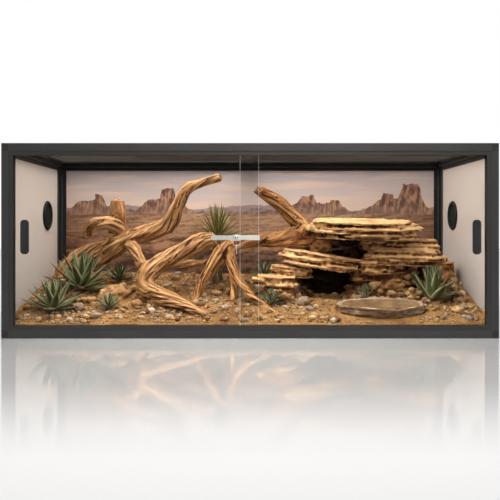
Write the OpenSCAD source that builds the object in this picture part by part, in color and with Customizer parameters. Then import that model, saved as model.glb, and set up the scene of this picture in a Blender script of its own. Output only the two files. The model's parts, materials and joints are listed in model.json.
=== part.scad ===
// Front-opening reptile terrarium: extruded frame, foamed panels, sliding glass doors with a
// ratchet lock, louvred vents, screen top, and a desert layout of driftwood, flagstones and plants.
// Origin: middle of the base, on the surface it stands on. Doors face -Y. Millimetres.

/* [Frame] */
// Overall width, left to right
enclosure_w = 1524; // [1480:1:1600]
// Overall depth, front to back
enclosure_d = 610; // [590:1:650]
// Overall height
enclosure_h = 598; // [585:1:650]
// Width of the posts seen from the front
post_w = 21; // [19:1:25]
// Height of the top and bottom rails
rail_h = 24; // [22:1:28]
// Depth of the tubes, front to back
tube_d = 24; // [23:1:28]
// Wall of the tubes
tube_wall = 2; // [1.5:0.5:3]
// Thickness of the panel lips
lip_t = 2; // [1.5:0.5:2.5]
// How far the panel lips reach from the tube
lip_len = 14; // [10:1:16]
// Length of a corner connector's spigots inside the tubes
spigot_len = 18; // [12:1:30]
// Play of a spigot in its tube, each side
spigot_play = 0.2; // [0.1:0.05:0.4]
// Width of the strip that joins the two screens
top_brace_w = 30; // [20:1:40]
// Width of the strip under the middle of the floor
floor_brace_w = 40; // [30:1:60]

/* [Panels] */
// Thickness of the side and rear panels
panel_t = 5.2; // [4:0.1:6]
// Thickness of the printed scenery sheets
print_t = 0.5; // [0.3:0.1:0.8]
// Slack of a panel in its channel, across and along
panel_slack = 0.3; // [0.2:0.1:0.5]
// Width of the screens' frame strips
screen_strip_w = 22; // [18:1:28]
// Wire gaps across one screen
net_cols = 12; // [8:1:14]
// Wire gaps from front to back of one screen
net_rows = 9; // [6:1:10]
// Width of a net strand
net_wire = 1.4; // [1:0.1:2]

/* [Doors] */
// Thickness of a glass pane
pane_t = 4; // [3:0.5:5]
// Gap between the front and the rear pane
pane_gap = 8; // [7.5:0.5:9]
// Play of a pane in its groove, each side
groove_play = 0.8; // [0.5:0.1:0.8]
// Height of the lower door track
lower_track_h = 14; // [12:1:16]
// Height of the upper door track
upper_track_h = 12.5; // [11:0.5:15]
// Width of the door jambs
jamb_w = 15; // [12:1:18]
// Base thickness of the tracks
track_base = 3; // [2:0.5:4]
// How far the left pane reaches right of the middle
left_pane_reach = 27; // [20:1:32]
// How far the right pane reaches left of the middle
right_pane_reach = 31; // [26:1:36]
// Width of a finger pull
pull_w = 26; // [24:1:34]
// Height of a finger pull
pull_h = 106; // [90:1:120]
// Thickness of a finger pull
pull_t = 5; // [4:0.5:5.5]
// Height of the pulls' middle above the base
pull_z = 310; // [280:1:340]
// Distance from a pull's middle to the outer face of the frame
pull_inset = 67; // [58:1:75]

/* [Lock] */
// Length of the toothed bar
bar_len = 150; // [130:1:160]
// Height of the toothed bar
bar_h = 14.8; // [12:0.2:16]
// Thickness of the toothed bar
bar_t = 2.2; // [1.8:0.1:2.6]
// Pitch of the bar's teeth
tooth_pitch = 4; // [3:0.5:6]
// Depth of the bar's teeth
tooth_depth = 1.6; // [1:0.1:2.2]
// Width of the lock body
lock_w = 20; // [19:1:24]
// Height of the lock above the base
lock_z = 307.7; // [290:0.1:325]
// Diameter of the turning plug
plug_d = 11; // [9:0.5:12]
// Radial running clearance of the plug
plug_play = 0.05; // [0.03:0.01:0.08]
// Diameter of the key's bow
bow_d = 18; // [14:1:20]
// Mean diameter of the key ring
ring_d = 22; // [20:1:28]
// Wire of the key ring
ring_wire = 1.4; // [1:0.1:1.8]

/* [Vents] */
// Outer diameter of a vent's flange
vent_d = 108; // [95:1:120]
// Diameter of the hole that the vent passes through
vent_hole_d = 92; // [80:1:92]
// Height of the vents' middle above the base
vent_z = 381; // [340:1:420]
// Distance from the vents' middle to the rear face
vent_rear = 169; // [140:1:200]
// Height of the flange inside the room
vent_flange_t = 6; // [4:0.5:8]
// Louvre blades in a vent
louvres = 7; // [5:1:9]

/* [Sand] */
// Height of the sand above the base, along the doors
sand_front = 39; // [39:1:46]
// Rise of the sand from the doors to the rear corners
sand_rise = 131; // [110:1:140]
// How much lower the sand lies at the middle of the rear
sand_dip = 16; // [0:1:25]
// Gap that each buried or seated piece leaves to its neighbour
seat = 0.4; // [0.3:0.05:0.5]

/* [Hidden] */
$fn = 48;

// Colours
frame_grey = [0.3, 0.31, 0.31];
track_grey = [0.33, 0.34, 0.34];
soft_black = [0.13, 0.13, 0.13];
board_white = [0.85, 0.83, 0.8];
wall_print = [0.76, 0.72, 0.69];
pane_tint = [0.8, 0.9, 0.88, 0.3];
bright_steel = [0.8, 0.81, 0.82];
leaf_green = [0.43, 0.53, 0.38];
sandstone = [0.81, 0.62, 0.4];
shaded_stone = [0.6, 0.44, 0.28];
board_grey = [0.35, 0.34, 0.33];
dusk_print = [0.78, 0.6, 0.5];
dull_steel = [0.6, 0.6, 0.6];
nickel = [0.75, 0.72, 0.6];
pale_wood = [0.72, 0.52, 0.32];
warm_wood = [0.7, 0.48, 0.3];
dark_wood = [0.6, 0.42, 0.28];
brown_stone = [0.5, 0.33, 0.2];
amber_stone = [0.74, 0.53, 0.33];
tan_stone = [0.78, 0.6, 0.42];
grey_stone = [0.75, 0.68, 0.6];
dish_stone = [0.66, 0.56, 0.46];
leaf_olive = [0.55, 0.55, 0.32];
dry_sand = [0.8, 0.62, 0.4];

// Frame, derived
half_w = enclosure_w / 2;
half_d = enclosure_d / 2;
channel_w = panel_t + print_t + panel_slack;
rail_x = half_w - post_w;
rail_y = half_d - tube_d;
post_len = enclosure_h - 2 * rail_h;
floor_t = channel_w - panel_slack;
floor_top = lip_t + floor_t;
brace_t = 2 * lip_t + channel_w;

// Doors, derived
track_recess = 1;
groove_w = pane_t + 2 * groove_play;
mid_rib = pane_gap - 2 * groove_play;
front_rib = 3;
track_d = tube_d - track_recess;
rear_rib = track_d - front_rib - 2 * groove_w - mid_rib;
track_y = -half_d + track_recess;
front_pane_y = track_y + front_rib + groove_play;
rear_pane_y = front_pane_y + pane_t + pane_gap;
jamb_web = 2;
pane_end_gap = 0.3;
pane_lift = 2;
pane_bottom = rail_h + track_base + pane_end_gap;
pane_top = enclosure_h - rail_h - track_base - pane_lift;
pane_end_x = rail_x - jamb_web - pane_end_gap;

// Lock, derived
bar_y = rear_pane_y - 1.8;
lock_right = -right_pane_reach - pane_end_gap;
lock_x = lock_right - lock_w / 2;
lock_front_y = bar_y - bar_t - 5.5;
barrel_len = 14;
barrel_front_y = lock_front_y - barrel_len;
key_t = 2;
key_slot_play = 0.15;
bow_y = barrel_front_y - 3 - bow_d / 2;
bow_hole_d = 6;
ring_top_z = lock_z - bow_hole_d / 2 + ring_wire / 2 + 0.3;
ring_z = ring_top_z - ring_d / 2;
spare_hole_d = 4.4;
spare_z = ring_z - ring_d / 2 - (spare_hole_d - ring_wire) / 2 + 0.3;

// Vents, derived
vent_y = half_d - vent_rear;
wall_in = half_w - lip_t - panel_t - print_t;
wall_out = half_w - lip_t;

// Room inside. The furnishing's coordinates are drawn for a room of these measures: half width,
// front, depth and floor level; the room_ functions carry them over to the room as it is.
rear_in = half_d - lip_t - panel_t - print_t;
room_y0 = -rail_y;
drawn_room = [754.3, -281, 578.3, 7.7];
room_kx = wall_in / drawn_room[0];
room_ky = (rear_in - room_y0) / drawn_room[2];
room_dz = floor_top - drawn_room[3];
sand_base = lip_t + channel_w + lip_t + panel_slack;
sand_shelf = rail_h + lip_len + panel_slack;

function room_x(x) = x * room_kx;
function room_y(y) = room_y0 + (y - drawn_room[1]) * room_ky;
function room(p) = [room_x(p[0]), room_y(p[1]), p[2] + room_dz];
function room_r(p) = concat(room(p), [p[3]]);

// Sand surface: steep by the doors, easing towards the rear, lower in the middle
function sand_z(x, y) =
  let (t = max(0, (y - room_y0) / (rear_in - room_y0)))
  let (s = x / wall_in)
  sand_front + (sand_rise - sand_dip * (1 - s * s)) * pow(t, 0.78)
  + 3 * t * sin(x * 1.3 + 40) * sin(y * 1.9);

// Shared shapes

// Tube with its outer corner at the origin, and a channel off its far and its side edge
module tube_ring(w, h) {
  difference() {
    square([w, h]);
    translate([tube_wall, tube_wall]) square([w - 2 * tube_wall, h - 2 * tube_wall]);
  }
}

module far_lips(h) {
  for (x = [0, lip_t + channel_w]) translate([x, h]) square([lip_t, lip_len]);
}

module side_lips(w) {
  for (y = [0, lip_t + channel_w]) translate([w, y]) square([lip_len, lip_t]);
}

module profile_run(len, w, h, far, side, cope_far, cope_side) {
  linear_extrude(len) tube_ring(w, h);
  if (far) translate([0, 0, cope_far]) linear_extrude(len - 2 * cope_far) far_lips(h);
  if (side) translate([0, 0, cope_side]) linear_extrude(len - 2 * cope_side) side_lips(w);
}

module to_top() { translate([0, 0, enclosure_h]) mirror([0, 0, 1]) children(); }
module to_rear() { mirror([0, 1, 0]) children(); }
module to_right() { mirror([1, 0, 0]) children(); }

module x_rail(far) {
  translate([-rail_x, -half_d, 0]) rotate([90, 0, 90])
    profile_run(2 * rail_x, tube_d, rail_h, far, true, 0, 0);
}

module y_rail() {
  translate([-half_w, rail_y, 0]) rotate([90, 0, 0])
    profile_run(2 * rail_y, post_w, rail_h, true, true, 0, lip_len);
}

module post(rear) {
  translate([-half_w, -half_d, rail_h])
    profile_run(post_len, post_w, tube_d, true, rear, lip_len, lip_len);
}

module corner_connector() {
  inner_w = post_w - 2 * tube_wall - 2 * spigot_play;
  inner_d = tube_d - 2 * tube_wall - 2 * spigot_play;
  inner_h = rail_h - 2 * tube_wall - 2 * spigot_play;
  edge = tube_wall + spigot_play;
  translate([-half_w, -half_d, 0]) {
    cube([post_w, tube_d, rail_h]);
    translate([post_w, edge, edge]) cube([spigot_len, inner_d, inner_h]);
    translate([edge, tube_d, edge]) cube([inner_w, spigot_len, inner_h]);
    translate([edge, edge, rail_h]) cube([inner_w, inner_d, spigot_len]);
  }
}

// Door track or jamb section: base along x, three ribs up y
module track_section(base, height) {
  square([track_d, base]);
  square([front_rib, height]);
  translate([front_rib + groove_w, 0]) square([mid_rib, height]);
  translate([track_d - rear_rib, 0]) square([rear_rib, height]);
}

module rounded_rect(w, h, r) {
  square([w - 2 * r, h], center = true);
  square([w, h - 2 * r], center = true);
  for (x = [r - w / 2, w / 2 - r], y = [r - h / 2, h / 2 - r]) translate([x, y]) circle(r);
}

// Frame

module front_top_rail() { color(frame_grey) to_top() x_rail(false); }
module front_bottom_rail() { color(frame_grey) x_rail(false); }
module rear_top_rail() { color(frame_grey) to_rear() to_top() x_rail(true); }
module rear_bottom_rail() { color(frame_grey) to_rear() x_rail(true); }
module left_top_rail() { color(frame_grey) to_top() y_rail(); }
module left_bottom_rail() { color(frame_grey) y_rail(); }
module right_top_rail() { color(frame_grey) to_right() to_top() y_rail(); }
module right_bottom_rail() { color(frame_grey) to_right() y_rail(); }
module front_left_post() { color(frame_grey) post(false); }
module front_right_post() { color(frame_grey) to_right() post(false); }
module rear_left_post() { color(frame_grey) to_rear() post(true); }
module rear_right_post() { color(frame_grey) to_right() to_rear() post(true); }

module corner_connectors() {
  color(soft_black) for (sx = [0, 1], sy = [0, 1], sz = [0, 1])
    mirror([sx, 0, 0]) mirror([0, sy, 0])
      translate([0, 0, sz * enclosure_h]) mirror([0, 0, sz]) corner_connector();
}

// H-section strip that holds the inner edges of the two screens
module top_centre_brace() {
  web = 4;
  flange_len = 2 * (rail_y - lip_len);
  color(frame_grey) translate([0, 0, enclosure_h - brace_t]) {
    for (z = [0, lip_t + channel_w])
      translate([-top_brace_w / 2, -flange_len / 2, z]) cube([top_brace_w, flange_len, lip_t]);
    translate([-web / 2, -rail_y, lip_t]) cube([web, 2 * rail_y, channel_w]);
  }
}

// Flat strip flush with the lower lips, under the middle of the floor panel
module floor_centre_brace() {
  strip_len = 2 * (rail_y - lip_len);
  color(frame_grey)
    translate([-floor_brace_w / 2, -strip_len / 2, 0]) cube([floor_brace_w, strip_len, lip_t]);
}

// Panels

module floor_panel() {
  color(board_grey) translate([-rail_x + panel_slack, -rail_y + panel_slack, lip_t])
    cube([2 * (rail_x - panel_slack), 2 * (rail_y - panel_slack), floor_t]);
}

module rear_sheet(t) {
  translate([-rail_x + panel_slack, 0, rail_h])
    cube([2 * (rail_x - panel_slack), t, post_len - panel_slack]);
}

module side_sheet(t) {
  difference() {
    translate([0, -rail_y + panel_slack, rail_h])
      cube([t, 2 * (rail_y - panel_slack), post_len - panel_slack]);
    translate([-1, vent_y, vent_z]) rotate([0, 90, 0]) cylinder(h = t + 2, d = vent_hole_d);
  }
}

module rear_panel() {
  color(board_white) translate([0, rear_in + print_t, 0]) rear_sheet(panel_t);
}
module rear_print() { color(dusk_print) translate([0, rear_in, 0]) rear_sheet(print_t); }
module left_panel() { color(board_white) translate([-wall_out, 0, 0]) side_sheet(panel_t); }
module right_panel() { color(board_white) to_right() translate([-wall_out, 0, 0]) side_sheet(panel_t); }
module left_print() {
  color(wall_print) translate([-wall_in - print_t, 0, 0]) side_sheet(print_t);
}
module right_print() {
  color(wall_print) to_right() translate([-wall_in - print_t, 0, 0]) side_sheet(print_t);
}

// Screen top

screen_out_x = rail_x - panel_slack;
screen_in_x = 2 + panel_slack;
screen_y = rail_y - panel_slack;
screen_z = enclosure_h - lip_t - channel_w + panel_slack;
screen_t = channel_w - panel_slack;
net_w = screen_out_x - screen_in_x - 2 * screen_strip_w;
net_l = 2 * (screen_y - screen_strip_w);

module screen_frame() {
  color(soft_black) translate([-screen_out_x, -screen_y, screen_z]) linear_extrude(screen_t)
    difference() {
      square([screen_out_x - screen_in_x, 2 * screen_y]);
      translate([screen_strip_w, screen_strip_w]) square([net_w, net_l]);
    }
}

module screen_net() {
  cell_w = net_w / net_cols;
  cell_l = net_l / net_rows;
  net_t = 1;
  translate([-screen_out_x + screen_strip_w, -screen_y + screen_strip_w, screen_z + screen_t / 2])
    linear_extrude(net_t) difference() {
      square([net_w, net_l]);
      for (i = [0:net_cols - 1], j = [0:net_rows - 1])
        translate([i * cell_w + net_wire / 2, j * cell_l + net_wire / 2])
          square([cell_w - net_wire, cell_l - net_wire]);
    }
}

module left_screen_frame() { screen_frame(); }
module right_screen_frame() { to_right() screen_frame(); }
module screen_nets() {
  color(soft_black) {
    screen_net();
    to_right() screen_net();
  }
}

// Doors

module lower_door_track() {
  color(track_grey) translate([-rail_x, track_y, rail_h]) rotate([90, 0, 90])
    linear_extrude(2 * rail_x) track_section(track_base, lower_track_h);
}

module upper_door_track() {
  color(track_grey) to_top() translate([-rail_x, track_y, rail_h]) rotate([90, 0, 90])
    linear_extrude(2 * rail_x) track_section(track_base, upper_track_h);
}

module door_jamb() {
  jamb_top = enclosure_h - rail_h - upper_track_h;
  jamb_len = jamb_top - rail_h - lower_track_h;
  color(track_grey) translate([-rail_x, track_y, jamb_top]) rotate(a = 180, v = [1, 1, 0])
    linear_extrude(jamb_len) track_section(jamb_web, jamb_w);
}

module left_door_jamb() { door_jamb(); }
module right_door_jamb() { to_right() door_jamb(); }

// Pane with its long edges ground to a small chamfer
module pane(width) {
  chamfer = 0.6;
  height = pane_top - pane_bottom;
  linear_extrude(height) polygon([
    [0, chamfer], [chamfer, 0], [width - chamfer, 0], [width, chamfer],
    [width, pane_t - chamfer], [width - chamfer, pane_t], [chamfer, pane_t], [0, pane_t - chamfer]]);
}

module left_glass() {
  color(pane_tint) translate([-pane_end_x, rear_pane_y, pane_bottom])
    pane(pane_end_x + left_pane_reach);
}

module right_glass() {
  color(pane_tint) translate([-right_pane_reach, front_pane_y, pane_bottom])
    pane(pane_end_x + right_pane_reach);
}

// Stuck-on finger pull: a rounded plate with a dished grip and a raised rib to one side
module pull() {
  corner = 11;
  rim = 3.5;
  plate = 1.5;
  rib_w = 3;
  rotate([90, 0, 0]) {
    difference() {
      linear_extrude(pull_t) rounded_rect(pull_w, pull_h, corner);
      translate([0, 0, plate]) linear_extrude(pull_t)
        rounded_rect(pull_w - 2 * rim, pull_h - 2 * rim, corner - rim);
    }
    translate([-rib_w / 2 + 1, -pull_h / 2 + rim - 0.5, plate - 0.5])
      cube([rib_w, pull_h - 2 * rim + 1, pull_t - plate - 1]);
  }
}

module left_pull() {
  color(soft_black) translate([-half_w + pull_inset, rear_pane_y, pull_z]) pull();
}

module right_pull() {
  color(soft_black) translate([half_w - pull_inset, front_pane_y, pull_z])
    mirror([1, 0, 0]) pull();
}

// Ratchet lock

// Toothed bar, bent round the free edge of the rear pane
module lock_bar() {
  hook_x = left_pane_reach + pane_end_gap;
  hook_end = hook_x + bar_t;
  bar_left = hook_end - bar_len;
  hook_reach = 13;
  tooth_first = bar_left + 4;
  teeth = floor((hook_x - 8 - tooth_first) / tooth_pitch);
  low = lock_z - bar_h / 2;
  high = lock_z + bar_h / 2;
  hook_back = rear_pane_y + pane_t + pane_end_gap;
  color(bright_steel) {
    translate([0, bar_y, 0]) rotate([90, 0, 0]) linear_extrude(bar_t) polygon(concat(
      [[bar_left + 2, high], [bar_left, high - 3], [bar_left, low + 3], [bar_left + 2, low]],
      [for (i = [0:teeth - 1]) each [
        [tooth_first + i * tooth_pitch, low],
        [tooth_first + i * tooth_pitch + 0.4, low + tooth_depth],
        [tooth_first + (i + 1) * tooth_pitch - 0.6, low]]],
      [[hook_end, low], [hook_end, high]]));
    translate([hook_x, bar_y - bar_t, low]) cube([bar_t, hook_back + bar_t - bar_y + bar_t, bar_h]);
    translate([hook_end - hook_reach, hook_back, low]) cube([hook_reach, bar_t, bar_h]);
  }
}

// Body that slides on the bar, with a round barrel for the plug
module lock_body() {
  body_h = bar_h + 3.4;
  rear_y = rear_pane_y - 0.3;
  slot_play = 0.2;
  barrel_d = min(lock_w, body_h) - 0.4;
  color(bright_steel) difference() {
    union() {
      translate([lock_x - lock_w / 2, lock_front_y, lock_z - body_h / 2])
        cube([lock_w, rear_y - lock_front_y, body_h]);
      translate([lock_x, lock_front_y + 1, lock_z]) rotate([90, 0, 0])
        cylinder(h = barrel_len + 1, d = barrel_d);
    }
    translate([lock_x - lock_w, bar_y - bar_t - slot_play, lock_z - bar_h / 2 - slot_play])
      cube([2 * lock_w, bar_t + 2 * slot_play, bar_h + 2 * slot_play]);
    translate([lock_x, barrel_front_y - 1, lock_z]) rotate([-90, 0, 0])
      cylinder(h = barrel_len + 3, d = plug_d + 2 * plug_play);
  }
}

// Plug that turns in the barrel, slotted for the key
module lock_plug() {
  plug_len = barrel_len + 1.7;
  color(dull_steel) translate([lock_x, barrel_front_y + plug_len, lock_z]) rotate([90, 0, 0])
    difference() {
      cylinder(h = plug_len + 0.5, d = plug_d);
      translate([-key_t / 2 - key_slot_play, -3.8, 3]) cube([key_t + 2 * key_slot_play, 7.6, plug_len]);
    }
}

// Flat key: blade along y, round bow with a hole for the ring
module key_blank(reach, bow, hole, blade_h) {
  rotate([90, 0, 90]) translate([0, 0, -key_t / 2]) linear_extrude(key_t) difference() {
    union() {
      circle(d = bow);
      translate([0, -blade_h / 2]) square([reach, blade_h]);
    }
    circle(d = hole);
    for (i = [0:3]) translate([reach - 3 - 3.2 * i, blade_h / 2 + 0.4]) circle(d = 2.2, $fn = 6);
  }
}

module lock_key() {
  color(nickel) translate([lock_x, bow_y, lock_z])
    key_blank(barrel_front_y - bow_y + 11, bow_d, bow_hole_d, 6.8);
}

module key_ring() {
  color(bright_steel) translate([lock_x, bow_y, ring_z]) rotate([90, 0, 0])
    rotate_extrude() translate([ring_d / 2, 0]) circle(d = ring_wire, $fn = 16);
}

module spare_key() {
  color(bright_steel) translate([lock_x, bow_y, spare_z]) rotate([-90, 0, 0])
    key_blank(24, 10.5, spare_hole_d, 5);
}

// Vents

// Flange, barrel and upright louvre blades, on the inside of the left wall
module vent() {
  hole = vent_hole_d - 1;
  bore = hole - 5;
  depth = wall_out - wall_in;
  blade_pitch = bore / louvres;
  blade_t = 1.6;
  blade_w = 9;
  blade_turn = 40;
  color(soft_black) translate([-wall_in, vent_y, vent_z]) rotate([0, 90, 0]) {
    rotate_extrude() polygon([
      [bore / 2, -depth], [hole / 2, -depth], [hole / 2, 0], [vent_d / 2, 0],
      [vent_d / 2, vent_flange_t - 3], [vent_d / 2 - 3, vent_flange_t],
      [bore / 2 + 2, vent_flange_t], [bore / 2, vent_flange_t - 2]]);
    intersection() {
      translate([0, 0, 1 - depth]) cylinder(h = depth + vent_flange_t - 4, r = bore / 2 + 1);
      for (i = [0:louvres - 1])
        translate([0, -bore / 2 + (i + 0.5) * blade_pitch, -1]) rotate([blade_turn, 0, 0])
          translate([-hole / 2, -blade_t / 2, -blade_w / 2]) cube([hole, blade_t, blade_w]);
    }
  }
}

// Outer ring that closes round the barrel, flush with the frame
module vent_cover() {
  color(soft_black) translate([-wall_out, vent_y, vent_z]) rotate([0, -90, 0])
    difference() {
      cylinder(h = lip_t, d = vent_d);
      translate([0, 0, -1]) cylinder(h = lip_t + 2, d = vent_hole_d - 14);
    }
}

module left_vent() { vent(); }
module right_vent() { to_right() vent(); }
module vent_covers() {
  vent_cover();
  to_right() vent_cover();
}

// Driftwood

function unit(v) = v / norm(v);
function xyz(p) = [p[0], p[1], p[2]];
function curve_point(a, b, c, d, t) = 0.5 * (2 * b + (c - a) * t
  + (2 * a - 5 * b + 4 * c - d) * t * t + (3 * b - a - 3 * c + d) * t * t * t);
function smooth_path(p, n) = [
  for (i = [0:len(p) - 2]) for (k = [0:n - 1])
    curve_point(p[max(i - 1, 0)], p[i], p[i + 1], p[min(i + 2, len(p) - 1)], k / n),
  p[len(p) - 1]];

// Swept limb through points [x, y, z, radius], with twisting grain ridges
module limb(points, grow = 0, sides = 9, steps = 2, seed = 0) {
  path = smooth_path([for (p = points) room_r(p)], steps);
  last = len(path) - 1;
  tangents = [for (i = [0:last]) unit(xyz(path[min(i + 1, last)]) - xyz(path[max(i - 1, 0)]))];
  rings = [for (i = [0:last])
    let (t = tangents[i])
    let (u = unit(cross([0, 1, 0], t)))
    let (v = cross(t, u))
    for (k = [0:sides - 1])
      let (a = 360 * k / sides)
      let (ridge = 1 + 0.09 * sin(2 * a + 38 * i + seed) + 0.06 * sin(3 * a - 55 * i + 2 * seed))
      xyz(path[i]) + (path[i][3] * ridge + grow) * (cos(a) * u + sin(a) * v)];
  ends = [
    xyz(path[0]) - tangents[0] * (0.5 * path[0][3] + grow),
    xyz(path[last]) + tangents[last] * (0.5 * path[last][3] + grow)];
  n = (last + 1) * sides;
  polyhedron(concat(rings, ends), concat(
    [for (i = [0:last - 1]) for (k = [0:sides - 1])
      let (m = (k + 1) % sides)
      each [
        [i * sides + k, (i + 1) * sides + k, (i + 1) * sides + m],
        [i * sides + k, (i + 1) * sides + m, i * sides + m]]],
    [for (k = [0:sides - 1]) [n, k, (k + 1) % sides]],
    [for (k = [0:sides - 1]) [n + 1, last * sides + (k + 1) % sides, last * sides + k]]));
}

// Splinters at a broken end, pointing along the limb
module splinters(from, to, r, grow = 0, count = 3, seed = 1) {
  a = room(from);
  b = room(to);
  axis = unit(b - a);
  u = unit(cross([0, 1, 0], axis));
  v = cross(axis, u);
  sizes = rands(0.6, 1.4, count, seed);
  for (i = [0:count - 1]) {
    off = r * 0.5 * (cos(360 * i / count + 30) * u + sin(360 * i / count + 30) * v);
    hull() {
      translate(a + off) sphere(r * 0.42 + grow, $fn = 5);
      translate(a + off * 1.1 + axis * norm(b - a) * sizes[i]) sphere(1.2 + grow, $fn = 4);
    }
  }
}

// Knots and burls on the bark
module knots(points, grow = 0) {
  for (p = points) hull() {
    translate(room([p[0], p[1], p[2]])) sphere(p[3] + grow, $fn = 6);
    translate(room([p[0] + p[3] * 0.6, p[1] - p[3] * 0.3, p[2] + p[3] * 0.5]))
      sphere(p[3] * 0.6 + grow, $fn = 5);
  }
}

left_trunk = [[-700, 165, 150, 46], [-640, 150, 205, 46], [-541, 125, 250, 47], [-449, 110, 292, 38],
  [-366, 95, 318, 34], [-305, 86, 340, 32], [-272, 80, 398, 26], [-246, 72, 452, 24],
  [-215, 65, 482, 24], [-160, 52, 502, 19], [-108, 40, 518, 16]];
left_stump = [[-500, 118, 270, 40], [-492, 125, 330, 33], [-491, 130, 385, 30], [-492, 134, 436, 28]];
left_burl = [[-470, 104, 318, 28], [-508, 90, 348, 27], [-550, 84, 352, 27], [-586, 92, 338, 25],
  [-598, 108, 310, 21]];
left_limb = [[-452, 108, 286, 24], [-420, 60, 262, 23], [-396, 20, 232, 21], [-374, -12, 200, 22]];

module left_wood(grow = 0) {
  limb(left_trunk, grow, 8, 2, 10);
  limb(left_stump, grow, 8, 1, 50);
  limb(left_burl, grow, 7, 2, 80);
  limb(left_limb, grow, 7, 1, 120);
  splinters([-112, 41, 517], [-92, 36, 525], 14, grow, 4, 5);
  splinters([-492, 134, 430], [-492, 135, 452], 27, grow, 4, 8);
  knots([[-300, 78, 362, 20], [-240, 66, 468, 15], [-430, 96, 312, 22]], grow);
}

centre_trunk = [[-128, 28, 296, 28], [-170, 12, 288, 32], [-211, -2, 268, 34], [-284, -35, 230, 34],
  [-340, -62, 196, 38], [-358, -85, 156, 36], [-334, -115, 128, 32], [-270, -155, 106, 28],
  [-200, -195, 84, 21], [-146, -228, 58, 13]];
centre_leg = [[-352, -90, 150, 22], [-333, -122, 100, 16], [-318, -146, 62, 12]];
centre_cross = [[-276, -30, 216, 16], [-225, -22, 214, 14], [-165, -10, 214, 15], [-118, 0, 212, 18]];

module centre_wood(grow = 0) {
  limb(centre_trunk, grow, 8, 2, 30);
  limb(centre_leg, grow, 7, 1, 60);
  limb(centre_cross, grow, 7, 2, 90);
  splinters([-132, 27, 298], [-112, 33, 300], 20, grow, 3, 12);
  knots([[-330, -62, 216, 22], [-190, 0, 292, 18], [-366, -92, 132, 22], [-286, -150, 116, 15],
    [-236, -8, 272, 20]], grow);
}

right_trunk = [[250, 40, 296, 27], [190, 26, 305, 32], [130, 14, 303, 33], [75, 5, 292, 29],
  [15, -4, 291, 25], [-42, -6, 283, 25], [-95, -8, 250, 27], [-136, -18, 200, 26],
  [-170, -38, 146, 21], [-192, -66, 88, 17]];
right_branch = [[200, 24, 316, 29], [168, 22, 356, 29], [132, 20, 396, 28], [84, 16, 438, 25],
  [36, 10, 466, 23]];
right_leg = [[-58, -4, 268, 20], [-66, -20, 226, 18], [-46, -48, 168, 18], [-6, -92, 116, 15],
  [40, -145, 82, 12], [80, -190, 56, 8]];
right_prop = [[-60, -14, 232, 14], [-56, -38, 160, 13], [-58, -72, 84, 12]];

module right_wood(grow = 0) {
  limb(right_trunk, grow, 8, 2, 15);
  limb(right_branch, grow, 8, 1, 45);
  limb(right_leg, grow, 7, 2, 75);
  limb(right_prop, grow, 7, 1, 100);
  splinters([36, 11, 465], [16, 8, 476], 20, grow, 5, 20);
  knots([[46, -18, 296, 18], [-96, -20, 252, 20], [178, 4, 322, 22], [110, 4, 424, 14]], grow);
}

module left_driftwood() {
  color(pale_wood) difference() {
    left_wood();
    centre_wood(seat);
  }
}

module centre_driftwood() {
  color(warm_wood) difference() {
    centre_wood();
    right_wood(seat);
  }
}

module right_driftwood() {
  color(dark_wood) difference() {
    right_wood();
    top_slab_rock(seat);
    column_rock(seat);
    middle_slab_rock(seat);
  }
}

// Flagstones

// Uneven outline of a stone layer
function stone_outline(rx, ry, corners, seed, grow) =
  let (wobble = rands(0.84, 1.08, corners, seed))
  [for (k = [0:corners - 1])
    let (a = 360 * (k + 0.3 * wobble[(k + 3) % corners]) / corners)
    [(rx * wobble[k] + grow) * cos(a), (ry * wobble[k] + grow) * sin(a)]];

// Stone built up of flat strata, about its own middle; each stratum bites into the one below
module strata(size, layers, seed, grow = 0, corners = 9, step = 0.06) {
  bite = 0.5;
  layer_h = size[2] / layers;
  shrink = rands(0.9, 1.02, layers, seed + 7);
  shift = rands(-step, step, 2 * layers, seed + 3);
  for (i = [0:layers - 1]) {
    rx = size[0] / 2 * shrink[i];
    ry = size[1] / 2 * shrink[i];
    z0 = -size[2] / 2 + i * layer_h - (i == 0 ? grow : bite);
    z1 = -size[2] / 2 + (i + 1) * layer_h + (i == layers - 1 ? grow : 0);
    translate([size[0] * shift[2 * i] / 2, size[1] * shift[2 * i + 1] / 2, z0]) hull() {
      linear_extrude(0.5 * (z1 - z0)) polygon(stone_outline(rx, ry, corners, seed + i, grow));
      linear_extrude(z1 - z0) polygon(stone_outline(rx * 0.95, ry * 0.93, corners, seed + i, grow));
    }
  }
}

module placed(centre, tilt) {
  translate(room(centre)) scale([room_kx, room_ky, 1]) rotate(tilt) children();
}

module top_slab_rock(grow = 0) {
  placed([392, 0, 334], [5, 1.5, -2]) strata([436, 232, 62], 6, 11, grow, 11);
}

module middle_slab_rock(grow = 0) {
  placed([246, 8, 222], [2, 9, 4]) strata([296, 150, 50], 5, 31, grow, 10);
}

module column_rock(grow = 0) {
  placed([254, 20, 274], [0, 0, 0]) strata([92, 76, 70], 4, 47, grow, 8);
}

module upper_left_slab(grow = 0) {
  placed([146, -6, 186], [3, 5, 8]) strata([168, 110, 34], 3, 61, grow);
}

module lower_left_slab(grow = 0) {
  placed([84, -34, 156], [2, 4, -6]) strata([180, 118, 34], 3, 67, grow);
}

module upper_right_slab(grow = 0) {
  placed([532, 48, 276], [2, 2, -4]) strata([300, 186, 46], 3, 73, grow, 10);
}

module broad_right_slab(grow = 0) {
  placed([550, 14, 232], [1, 2, 5]) strata([316, 172, 52], 3, 79, grow, 10);
}

module lower_right_slab(grow = 0) {
  placed([446, 4, 200], [2, -2, -5]) strata([158, 136, 44], 3, 83, grow);
}

module left_slab_rocks(grow = 0) {
  upper_left_slab(grow);
  lower_left_slab(grow);
}

module right_slab_rocks(grow = 0) {
  upper_right_slab(grow);
  broad_right_slab(grow);
  lower_right_slab(grow);
}

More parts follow.
